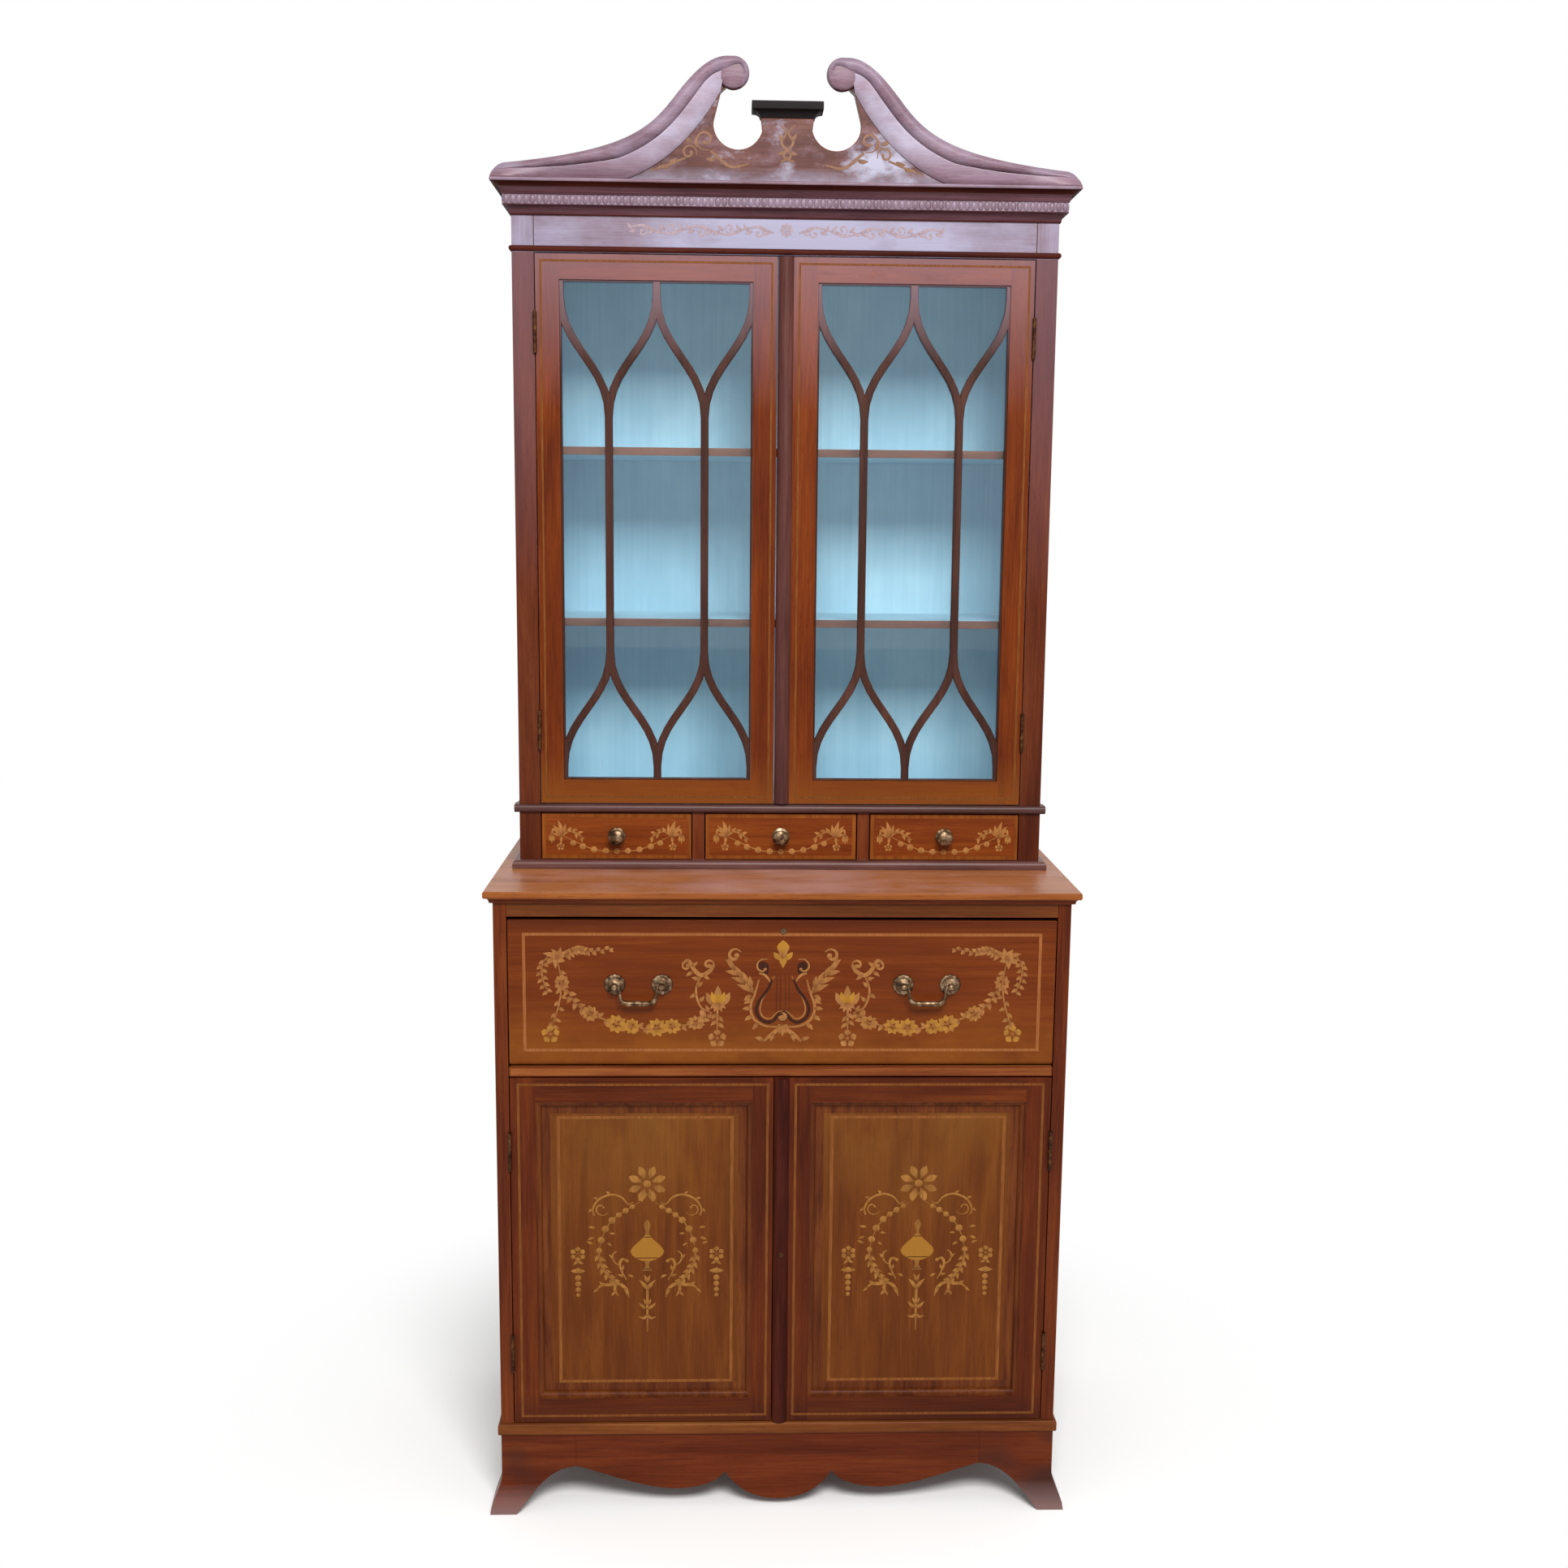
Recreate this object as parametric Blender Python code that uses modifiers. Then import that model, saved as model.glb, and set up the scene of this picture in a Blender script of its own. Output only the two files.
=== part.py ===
"""Secretary bookcase: a glazed bookcase with a swan-neck pediment, standing on a base
that holds a fall-front writing drawer above a two-door cupboard.

Metres, +Z up. The front faces -Y, and the origin is on the floor under the middle of the piece.
"""

import math

import bmesh
import bpy
from mathutils import Vector

# Clearances
SEAM = 0.0003  # between two fixed pieces
HALF_SEAM = SEAM / 2
DOOR_GAP = 0.0015  # round a door, a drawer front or the fall
RUN_GAP = 0.0005  # under a drawer on its runner
SLIDE_GAP = 0.002  # between a drawer's side and its case

# Base case
BASE_WIDTH = 0.915
BASE_DEPTH = 0.472
BASE_SIDE_T = 0.021
BASE_BACK_T = 0.010
BASE_BOTTOM_T = 0.020
PLINTH_PROUD = 0.005
CUPBOARD_HEIGHT = 0.593
DUST_BOARD_T = 0.017
FALL_OPENING = 0.245
TOP_RAIL_HEIGHT = 0.023
TOP_RAIL_DEPTH = 0.045
DESK_TOP_T = 0.020
DESK_OVERHANG = 0.014
DESK_ROUND = 0.009

# Feet and apron
FOOT_HEIGHT = 0.132
FOOT_SPLAY = 0.018
SPLAY_HEIGHT = 0.060
FOOT_T = 0.020
FOOT_TOE = 0.0255  # width of a foot on the floor, before the splay
FOOT_WING = 0.1225  # length of a foot's bracket under the case
ARCH_HEIGHT = 0.0745
ARCH_CROWN = 0.75  # share of the wing where the arch starts to turn down
ARCH_ANKLE = (0.38, 0.66)  # shares of the wing and the arch that pull the curve in above the toe
APRON_T = 0.020
APRON_DIP = (0.171, 0.0335)
APRON_CUSP = (0.089, 0.0632)
APRON_LOBE = 0.014
# How far the apron's curves run on from each of its points before they turn
APRON_END_RUN = 0.017
APRON_DIP_RUNS = (0.059, 0.041)
APRON_CUSP_RUNS = ((0.011, -0.018), (-0.014, -0.021))
APRON_LOBE_RUN = 0.05

# Bookcase
UPPER_WIDTH = 0.871
UPPER_SETBACK = 0.178
UPPER_SIDE_T = 0.018
UPPER_BACK_T = 0.010
STILE_WIDTH = 0.035
STILE_T = 0.020
BED_T = 0.014
BED_PROUD = 0.012
BED_ROUND = 0.007
SMALL_DRAWER_OPENING = 0.080
PARTITION_T = 0.020
MIDDLE_DRAWER_WIDTH = 0.256
WAIST_T = 0.014
WAIST_PROUD = 0.008
GLAZED_OPENING = 0.8855
FRIEZE_HEIGHT = 0.1085
TOP_BOARD_T = 0.016
TOP_BOARD_LIFT = 0.006  # top board's underside above the door opening
SHELF_T = 0.0135
SHELF_SETBACK = 0.055
SHELF_HEIGHTS = {"lower": 0.292, "upper": 0.573}  # shelf's underside above the waist board

# Neck moulding, cornice and pediment
NECK_LIFT = 0.001
NECK_HEIGHT = 0.009
NECK_PROUD = 0.004
NECK_STEPS = ((0.6, 0.0), (1.0, 0.3), (1.0, 0.7), (0.6, 1.0))  # shares of its reach and its height
CORNICE_HEIGHT = 0.0525
CORNICE_PROUD = 0.030
# Steps of the cornice as shares of its reach and its height, from the frieze up
CORNICE_STEPS = (
    (0.06, 0.0),
    (0.12, 0.07),
    (0.30, 0.21),
    (0.40, 0.28),
    (0.45, 0.57),
    (0.50, 0.63),
    (0.62, 0.77),
    (0.77, 0.88),
    (0.95, 0.91),
    (1.0, 0.95),
    (1.0, 1.0),
)
PEDIMENT_T = 0.020
SWAN_PROUD = 0.018
SWAN_END = 0.026  # height of the swan neck where it starts at the corner, with a round end
SWAN_RISE = 0.1905  # top of the scroll above the cornice
SWAN_START_RUN = (-0.168, 0.018)  # how far the neck's edge runs on from the corner before it turns
SWAN_WAIST = 0.73  # share of the way to the crest where the neck is steepest
SWAN_SAG = 0.0298  # drop of that point below a straight line
SWAN_SLOPE = (-0.022, 0.026)  # run of the edge above that point
SWAN_SLOPE_BELOW = 1.65  # run below it, as a share of the run above
SWAN_CREST_RUN = 0.038
SCROLL_RADIUS = 0.025
SCROLL_REACH = 0.0855  # scroll's centre from the middle of the piece
SCROLL_CREST = 0.36  # scroll radii from its centre to where the neck's edge meets it
SCROLL_DEG = (69, 300)  # where the scroll's round edge starts and ends
SCROLL_THROAT = (0.8, -1.08)  # scroll radii from its centre to the neck's lower edge
NECK_FOOT = 0.18  # end of the neck's lower edge from the scroll's centre
NECK_THROAT_RUN = (0.032, -0.053)
NECK_FOOT_RUN = (-0.083, 0.028)
BOARD_REVEAL = 0.004  # pediment board's edge behind the swan neck's edge
VOID_RADIUS = 0.039
VOID_REACH = 0.0775
VOID_HEIGHT = 0.091
VOID_DEG = (20, -166)
PEDESTAL_HEIGHT = 0.100
PEDESTAL_HALF_WIDTH = 0.042
CAP_HALF_WIDTH = 0.0565
CAP_HEIGHT = 0.024
CAP_PROUD = 0.012
# Flare of the cap as shares of its reach and its height, from the pedestal up
CAP_STEPS = ((0.1, 0.0), (0.1, 0.1), (0.25, 0.26), (0.55, 0.4), (0.95, 0.48), (1.0, 0.52), (1.0, 1.0))

# Doors
DOOR_T = 0.022
GLAZED_STILE = 0.038
GLAZED_RAIL = 0.0395
GLAZED_MEETING = 0.0395  # meeting stile that shows beside the bead
CUPBOARD_STILE = 0.040
CUPBOARD_RAIL = 0.041
CUPBOARD_MEETING = 0.0345
BEAD_WIDTH = 0.025
BEAD_PROUD = 0.008
REBATE_DEPTH = 0.0115  # rebate's step behind the door's face
REBATE_WIDTH = 0.007
GLASS_T = 0.002
PANEL_T = 0.008
BAR_WIDTH = 0.013
BAR_SETBACK = 0.003
BAR_RIM = 0.003
OGEE_START = 0.2135  # where a bar forks, from the rail
OGEE_END = 0.0205  # where a fork ends, from the rail
OGEE_TENSION = 0.44

# Butt hinges
HINGE_RADIUS = 0.003
HINGE_PROUD = 0.0005  # barrel's clearance in front of the face
HINGE_LENGTH = 0.064
HINGE_INSET = 0.090  # hinge's end from the door's end
HINGE_SIDES = 12
LEAF_T = 0.0008
LEAF_DEPTH = 0.018

# Small drawers
DRAWER_FRONT_T = 0.018
DRAWER_WALL = 0.008
DRAWER_FLOOR = 0.006
DRAWER_BACK_GAP = 0.022
DRAWER_SIDE_DROP = 0.012  # drawer's sides below the top of its front

# Writing drawer and its fall
FALL_T = 0.020
FALL_HEADROOM = 0.005
TRAY_WALL = 0.012
TRAY_BACK_GAP = 0.012
TRAY_DROP = 0.022  # tray's rim below the opening
NEST_DEPTH = 0.205
NEST_WALL = 0.006
NEST_DROP = 0.005  # nest's top below the tray's rim
NEST_SLOT_HEIGHT = 0.045
NEST_SLOTS = 3
NEST_HOLES = 7
QUADRANT_RADIUS = 0.150
QUADRANT_WIDTH = 0.009
QUADRANT_T = 0.003
QUADRANT_GAP = 0.001
QUADRANT_FOOT = 0.032
QUADRANT_TAIL_DEG = 8

# Brass handles
HANDLE_REACH = 0.229  # handle's centre from the middle of the piece
HANDLE_HEIGHT = 0.136  # handle's posts above the bottom of the opening
POST_SPACING = 0.075
POST_LENGTH = 0.0225
POST_HEAD = 0.006
POST_NECK = 0.0036
POST_COLLAR = 0.0018  # height of the neck's foot above the rosette
ROSETTE_RADIUS = 0.0175
ROSETTE_BOSS = 0.0105
ROSETTE_T = 0.0045
ROSETTE_RIM = 0.0016
BAIL_RADIUS = 0.0026
BAIL_DROP = 0.0325
# Half a bail from its eye to its middle, as shares of its half width and its drop
BAIL_STEPS = (
    (1.0, 0.0),
    (0.90, 0.02),
    (0.85, 0.2),
    (0.97, 0.48),
    (0.98, 0.68),
    (0.86, 0.88),
    (0.60, 0.98),
    (0.0, 1.0),
)
KNOB_LENGTH = 0.022
KNOB_RADIUS = 0.011
KNOB_PLATE_RADIUS = 0.012
KNOB_PLATE_T = 0.0018
# Turning of a knob from its tip to its plate, as shares of its radius and its length
KNOB_STEPS = (
    (0, 1),
    (0.36, 0.985),
    (0.6, 0.96),
    (0.87, 0.88),
    (1, 0.76),
    (0.75, 0.56),
    (0.4, 0.42),
    (0.5, 0.16),
)
TURNED_STEPS = 24

# Planes across and along the piece
BASE_HALF = BASE_WIDTH / 2
BASE_INSIDE = BASE_HALF - BASE_SIDE_T
UPPER_HALF = UPPER_WIDTH / 2
UPPER_INSIDE = UPPER_HALF - UPPER_SIDE_T
STILE_INSIDE = UPPER_HALF - STILE_WIDTH
FRONT_REACH = max(FOOT_SPLAY, HALF_SEAM + POST_LENGTH)  # of what stands out of the front
FRONT = (FRONT_REACH - BASE_DEPTH) / 2
BACK = FRONT + BASE_DEPTH
UPPER_FRONT = FRONT + UPPER_SETBACK
BASE_BACK_FACE = BACK - BASE_BACK_T
UPPER_BACK_FACE = BACK - UPPER_BACK_T
BEHIND_STILES = UPPER_FRONT + STILE_T

# Levels
Z_BOTTOM = FOOT_HEIGHT
Z_CUPBOARD = Z_BOTTOM + BASE_BOTTOM_T
Z_DUST = Z_CUPBOARD + CUPBOARD_HEIGHT
Z_FALL = Z_DUST + DUST_BOARD_T
Z_TOP_RAIL = Z_FALL + FALL_OPENING
Z_DESK = Z_TOP_RAIL + TOP_RAIL_HEIGHT
Z_BED = Z_DESK + DESK_TOP_T
Z_DRAWERS = Z_BED + BED_T
Z_WAIST = Z_DRAWERS + SMALL_DRAWER_OPENING
Z_GLAZED = Z_WAIST + WAIST_T
Z_FRIEZE = Z_GLAZED + GLAZED_OPENING
Z_PEDIMENT = Z_FRIEZE + FRIEZE_HEIGHT
FLOOR = -HALF_SEAM  # an outline that stands here touches the floor once its seam is taken off

# Fall's hinge line: on the round of its lower edge
FALL_AXIS = Vector((0, FRONT + FALL_T / 2, Z_FALL + DOOR_GAP + FALL_T / 2))
TRAY_FLOOR = FALL_AXIS.z + FALL_T / 2

QUARTER = math.pi / 2
FRONT_PLANE = (QUARTER, 0, 0)  # outline in x and z
SIDE_PLANE = (QUARTER, 0, QUARTER)  # outline in y and z
PLAN_PLANE = (0, 0, 0)  # outline in x and y


def clear_scene():
    """Removes whatever the file held and makes the two collections."""
    for old in list(bpy.data.objects):
        bpy.data.objects.remove(old)
    made = []
    for name in ("secretary_bookcase", "cutters"):
        collection = bpy.data.collections.new(name)
        bpy.context.scene.collection.children.link(collection)
        made.append(collection)
    return made


PARTS, CUTTERS = clear_scene()


def finish(name, colour, roughness, metallic=0.0):
    """A Principled material of one colour."""
    material = bpy.data.materials.new(name)
    material.use_nodes = True
    shader = material.node_tree.nodes["Principled BSDF"]
    shader.inputs["Base Color"].default_value = (*colour, 1)
    shader.inputs["Roughness"].default_value = roughness
    shader.inputs["Metallic"].default_value = metallic
    return material


MAHOGANY = finish("polished_mahogany", (0.27, 0.075, 0.032), 0.35)
VENEER = finish("golden_mahogany_veneer", (0.42, 0.15, 0.05), 0.3)
DARK_MAHOGANY = finish("dark_mahogany", (0.10, 0.025, 0.014), 0.4)
PAINTED = finish("sky_blue_paint", (0.42, 0.62, 0.72), 0.6)
LINING = finish("plain_mahogany", (0.25, 0.11, 0.055), 0.6)
EBONISED = finish("ebonised_wood", (0.02, 0.012, 0.01), 0.4)
BRASS = finish("antique_brass", (0.50, 0.36, 0.16), 0.35, 1.0)
GLASS = finish("window_glass", (0.80, 0.90, 0.90), 0.05)


def place_of(obj):
    """World place of an unturned empty, or the origin for none."""
    return obj.location + place_of(obj.parent) if obj else Vector()


def pivot(name, location, parent=None):
    """An empty on a joint's axis, which carries the pieces that move there."""
    empty = bpy.data.objects.new(name, None)
    PARTS.objects.link(empty)
    empty.location = Vector(location) - place_of(parent)
    empty.parent = parent
    return empty


def add(name, data, material, location=(0, 0, 0), rotation=(0, 0, 0), parent=None):
    """Puts a mesh or curve in the scene as a piece of the object."""
    obj = bpy.data.objects.new(name, data)
    PARTS.objects.link(obj)
    data.materials.append(material)
    obj.rotation_euler = rotation
    obj.parent = parent
    obj.location = Vector(location) - place_of(parent)
    return obj


def box_mesh(name, size, rounded=0.0):
    """A box about its own centre. rounded eases the top edges at its front and ends."""
    bm = bmesh.new()
    bmesh.ops.create_cube(bm, size=1)
    bmesh.ops.scale(bm, vec=size, verts=bm.verts)
    if rounded:
        top = [e for e in bm.edges if all(v.co.z > 0 for v in e.verts)]
        shown = [e for e in top if any(v.co.y < 0 for v in e.verts)]
        bmesh.ops.bevel(bm, geom=shown, offset=rounded, segments=3, profile=0.5, affect="EDGES")
    mesh = bpy.data.meshes.new(name)
    bm.to_mesh(mesh)
    bm.free()
    return mesh


def board(name, x, y, z, material, parent=None, rounded=0.0):
    """A board that fills the cell between the given planes, less its seams."""
    spans = [Vector(span) for span in (x, y, z)]
    size = [span[1] - span[0] - SEAM for span in spans]
    centre = [sum(span) / 2 for span in spans]
    return add(name, box_mesh(name, size, rounded), material, centre, parent=parent)


def as_cutter(obj):
    """Takes a shape out of the object, to be used only in a Boolean."""
    PARTS.objects.unlink(obj)
    CUTTERS.objects.link(obj)
    obj.hide_render = True
    obj.display_type = "WIRE"
    return obj


def hollow(name, x, y, z):
    """A cutter that leaves the cell between the given planes open, seams included."""
    spans = [Vector(span) for span in (x, y, z)]
    size = [span[1] - span[0] + SEAM for span in spans]
    centre = [sum(span) / 2 for span in spans]
    return as_cutter(add(name, box_mesh(name, size), LINING, centre))


def combine(obj, operation, *others):
    """Cuts other shapes from a piece, or joins them to it."""
    for other in others:
        modifier = obj.modifiers.new(other.name, "BOOLEAN")
        modifier.operation = operation
        modifier.solver = "EXACT"
        modifier.object = other
    return obj


def bezier(start, first, second, end, steps=12):
    """Points along a cubic curve, both ends included."""
    knots = [Vector(knot) for knot in (start, first, second, end)]
    points = []
    for step in range(steps + 1):
        t = step / steps
        weights = ((1 - t) ** 3, 3 * t * (1 - t) ** 2, 3 * t * t * (1 - t), t**3)
        points.append(sum((w * knot for w, knot in zip(weights, knots)), Vector((0, 0))))
    return points


def arc(centre, radius, start_deg, end_deg, steps=16):
    """Points along an arc, both ends included."""
    angles = [math.radians(start_deg + (end_deg - start_deg) * s / steps) for s in range(steps + 1)]
    return [Vector(centre) + radius * Vector((math.cos(a), math.sin(a))) for a in angles]


def mirrored(points):
    """The points reflected in the middle of the piece, in reverse order."""
    return [Vector((-p[0], p[1])) for p in reversed(points)]


def whole(right_half):
    """A closed outline from its right half, which runs from the middle to the middle."""
    left_half = [p for p in mirrored(right_half) if abs(p[0]) > HALF_SEAM]
    return [Vector(p) for p in right_half] + left_half


def drawn_in(loop, hole):
    """A closed outline moved by half a seam into its material."""
    points = [Vector(p) for p in loop]
    area = sum(a.cross(b) for a, b in zip(points, points[1:] + points[:1]))
    if (area < 0) != hole:
        points.reverse()
    moved = []
    for before, here, after in zip(points[-1:] + points[:-1], points, points[1:] + points[:1]):
        into = (here - before).normalized()
        out = (after - here).normalized()
        normals = Vector((-into.y, into.x)) + Vector((-out.y, out.x))
        moved.append(here + normals * (SEAM / normals.length_squared))
    return moved


def outline(name, loops, plane, across, material, parent=None):
    """A flat piece: closed outlines, the first outside and the rest holes, between two planes."""
    curve = bpy.data.curves.new(name, "CURVE")
    curve.dimensions = "2D"
    curve.fill_mode = "BOTH"
    curve.extrude = (across[1] - across[0] - SEAM) / 2
    for index, loop in enumerate(loops):
        points = drawn_in(loop, hole=index > 0)
        spline = curve.splines.new("POLY")
        spline.points.add(len(points) - 1)
        for knot, point in zip(spline.points, points):
            knot.co = (point.x, point.y, 0, 1)
        spline.use_cyclic_u = True
    middle = sum(across) / 2
    places = {FRONT_PLANE: (0, middle, 0), SIDE_PLANE: (middle, 0, 0), PLAN_PLANE: (0, 0, middle)}
    return add(name, curve, material, places[plane], plane, parent)


def loft(name, sections, material):
    """A closed skin through sections of equal point counts."""
    bm = bmesh.new()
    rings = [[bm.verts.new(p) for p in section] for section in sections]
    for near, far in zip(rings, rings[1:]):
        for i in range(len(near)):
            bm.faces.new((near[i - 1], near[i], far[i], far[i - 1]))
    bm.faces.new(rings[0])
    bm.faces.new(rings[-1])
    bmesh.ops.recalc_face_normals(bm, faces=bm.faces)
    mesh = bpy.data.meshes.new(name)
    bm.to_mesh(mesh)
    bm.free()
    return add(name, mesh, material)


def surround(name, profile, material):
    """A moulding with mitred corners round the front and sides of the bookcase."""
    sections = []
    for side, back in ((-1, True), (-1, False), (1, False), (1, True)):
        sections.append(
            [
                (side * (UPPER_HALF + out), BACK - HALF_SEAM if back else UPPER_FRONT - out, z)
                for out, z in profile
            ]
        )
    return loft(name, sections, material)


def turned(name, profile, material, location, parent):
    """A turned brass piece that stands out of a front: (radius, distance out) from tip to back."""
    mesh = bpy.data.meshes.new(name)
    points = [(radius, 0, out) for radius, out in profile]
    mesh.from_pydata(points, [(i, i + 1) for i in range(len(points) - 1)], [])
    obj = add(name, mesh, material, location, FRONT_PLANE, parent)
    screw = obj.modifiers.new("turning", "SCREW")
    screw.steps = screw.render_steps = TURNED_STEPS
    screw.use_merge_vertices = True
    screw.merge_threshold = 0.00001
    screw.use_smooth_shade = True
    return obj


def tube(name, points, radius, material, parent):
    """A bent rod of round section through the given points."""
    curve = bpy.data.curves.new(name, "CURVE")
    curve.dimensions = "3D"
    curve.bevel_depth = radius
    curve.bevel_resolution = 2
    curve.use_fill_caps = True
    spline = curve.splines.new("POLY")
    spline.points.add(len(points) - 1)
    for knot, point in zip(spline.points, points):
        knot.co = (*point, 1)
    return add(name, curve, material, place_of(parent), parent=parent)


def foot_bracket():
    """Inner edge of a foot's bracket as (distance from the corner, height), arch to floor."""
    arch = (FOOT_WING, ARCH_HEIGHT)
    toe = (FOOT_TOE, 0)
    crown = (FOOT_WING * ARCH_CROWN, ARCH_HEIGHT)
    ankle = (FOOT_TOE + (FOOT_WING - FOOT_TOE) * ARCH_ANKLE[0], ARCH_HEIGHT * ARCH_ANKLE[1])
    return bezier(arch, crown, ankle, toe)


def splay(z):
    """How far a front foot sweeps out at a height."""
    rise = min(max((SPLAY_HEIGHT - z) / SPLAY_HEIGHT, 0), 1)
    return FOOT_SPLAY * rise * rise * (3 - 2 * rise)


def front_foot(side_name, side):
    """A French foot: front and side brackets mitred at the corner, swept out at the toe."""
    levels = [(FOOT_WING, FOOT_HEIGHT - HALF_SEAM)] + [tuple(p) for p in foot_bracket()]
    sections = []
    for reach, z in levels:
        out = splay(z)
        edge, face = BASE_HALF + out, FRONT - out
        end = reach - HALF_SEAM
        section = [
            (edge, face),
            (BASE_HALF - end, face),
            (BASE_HALF - end, face + FOOT_T),
            (edge - FOOT_T, face + FOOT_T),
            (edge - FOOT_T, FRONT + end),
            (edge, FRONT + end),
        ]
        sections.append([(side * x, y, z) for x, y in section])
    loft(f"front_foot_{side_name}", sections, MAHOGANY)


def base_side(side_name, side):
    """A side of the base, whose lower edge is cut to the skirt and the rear foot."""
    bracket = [(BACK - reach, z) for reach, z in foot_bracket()]
    bracket[-1] = (bracket[-1][0], FLOOR)
    edge = [
        (FRONT, Z_DESK),
        (FRONT, Z_BOTTOM),
        (FRONT + FOOT_WING, Z_BOTTOM),
        (FRONT + FOOT_WING, ARCH_HEIGHT),
        *bracket,
        (BACK, FLOOR),
        (BACK, Z_DESK),
    ]
    across = sorted((side * BASE_INSIDE, side * BASE_HALF))
    outline(f"base_side_{side_name}", [edge], SIDE_PLANE, across, MAHOGANY)


def apron():
    """The shaped board between the front feet."""
    end = BASE_HALF - FOOT_WING
    dip, cusp = Vector(APRON_DIP), Vector(APRON_CUSP)
    lobe = Vector((0, APRON_LOBE))
    to_dip, from_dip = [Vector((run, 0)) for run in APRON_DIP_RUNS]
    to_cusp, from_cusp = [Vector(run) for run in APRON_CUSP_RUNS]
    outer = bezier((end, ARCH_HEIGHT), (end - APRON_END_RUN, ARCH_HEIGHT), dip + to_dip, dip)
    rise = bezier(dip, dip - from_dip, cusp + to_cusp, cusp)
    middle = bezier(cusp, cusp + from_cusp, (APRON_LOBE_RUN, APRON_LOBE), lobe)
    right = [(0, Z_BOTTOM), (end, Z_BOTTOM), *outer, *rise[1:], *middle[1:]]
    outline("apron", [whole(right)], FRONT_PLANE, (FRONT, FRONT + APRON_T), MAHOGANY)


def base_case():
    """Carcass of the base, its feet and the desk top."""
    inside = (-BASE_INSIDE, BASE_INSIDE)
    depth = (FRONT, BASE_BACK_FACE)
    for side_name, side in (("left", -1), ("right", 1)):
        base_side(side_name, side)
        front_foot(side_name, side)
    apron()
    plinth = BASE_HALF + PLINTH_PROUD
    plan = [
        (0, FRONT - PLINTH_PROUD),
        (plinth, FRONT - PLINTH_PROUD),
        (plinth, BACK),
        (BASE_HALF, BACK),
        (BASE_HALF, FRONT),
        (BASE_INSIDE, FRONT),
        (BASE_INSIDE, BASE_BACK_FACE),
        (0, BASE_BACK_FACE),
    ]
    outline("base_bottom", [whole(plan)], PLAN_PLANE, (Z_BOTTOM, Z_CUPBOARD), MAHOGANY)
    board("base_back", inside, (BASE_BACK_FACE, BACK), (Z_BOTTOM, Z_DESK), LINING)
    board("dust_board", inside, depth, (Z_DUST, Z_FALL), MAHOGANY)
    board("top_rail", inside, (FRONT, FRONT + TOP_RAIL_DEPTH), (Z_TOP_RAIL, Z_DESK), MAHOGANY)
    over = BASE_HALF + DESK_OVERHANG
    desk_depth = (FRONT - DESK_OVERHANG, BACK)
    board("desk_top", (-over, over), desk_depth, (Z_DESK, Z_BED), VENEER, rounded=DESK_ROUND)


def drawer_bed():
    """Floor of the bookcase with its moulded edge and the two drawer partitions."""
    over = UPPER_HALF + BED_PROUD
    floor_depth = (UPPER_FRONT - BED_PROUD, BACK)
    bed = board("drawer_bed", (-over, over), floor_depth, (Z_BED, Z_DRAWERS), MAHOGANY, rounded=BED_ROUND)
    for side_name, side in (("left", -1), ("right", 1)):
        near = MIDDLE_DRAWER_WIDTH / 2
        across = sorted((side * near, side * (near + PARTITION_T)))
        height = (Z_DRAWERS - BED_T / 2, Z_WAIST)
        depth = (UPPER_FRONT, UPPER_BACK_FACE)
        partition = board(f"partition_{side_name}", across, depth, height, MAHOGANY)
        combine(bed, "UNION", as_cutter(partition))


def bookcase_case():
    """Carcass of the bookcase: sides, back, boards, shelves and the front frame."""
    inside = (-UPPER_INSIDE, UPPER_INSIDE)
    drawer_bed()
    for side_name, side in (("left", -1), ("right", 1)):
        across = sorted((side * UPPER_INSIDE, side * UPPER_HALF))
        depth = (BEHIND_STILES, BACK)
        board(f"bookcase_side_{side_name}", across, depth, (Z_DRAWERS, Z_PEDIMENT), MAHOGANY)
    board("bookcase_back", inside, (UPPER_BACK_FACE, BACK), (Z_DRAWERS, Z_PEDIMENT), PAINTED)
    edge = UPPER_HALF + WAIST_PROUD
    plan = [
        (0, UPPER_FRONT - WAIST_PROUD),
        (edge, UPPER_FRONT - WAIST_PROUD),
        (edge, BACK),
        (UPPER_HALF, BACK),
        (UPPER_HALF, UPPER_FRONT),
        (STILE_INSIDE, UPPER_FRONT),
        (STILE_INSIDE, BEHIND_STILES),
        (UPPER_INSIDE, BEHIND_STILES),
        (UPPER_INSIDE, UPPER_BACK_FACE),
        (0, UPPER_BACK_FACE),
    ]
    outline("waist_board", [whole(plan)], PLAN_PLANE, (Z_WAIST, Z_GLAZED), MAHOGANY)
    frame = [
        (0, Z_FRIEZE),
        (STILE_INSIDE, Z_FRIEZE),
        (STILE_INSIDE, Z_DRAWERS),
        (UPPER_HALF, Z_DRAWERS),
        (UPPER_HALF, Z_PEDIMENT),
        (0, Z_PEDIMENT),
    ]
    outline("face_frame", [whole(frame)], FRONT_PLANE, (UPPER_FRONT, BEHIND_STILES), MAHOGANY)
    top = Z_FRIEZE + TOP_BOARD_LIFT
    board("bookcase_top", inside, (BEHIND_STILES, UPPER_BACK_FACE), (top, top + TOP_BOARD_T), PAINTED)
    for level, height in SHELF_HEIGHTS.items():
        z = Z_GLAZED + height
        depth = (UPPER_FRONT + SHELF_SETBACK, UPPER_BACK_FACE)
        board(f"{level}_shelf", inside, depth, (z, z + SHELF_T), PAINTED)


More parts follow.
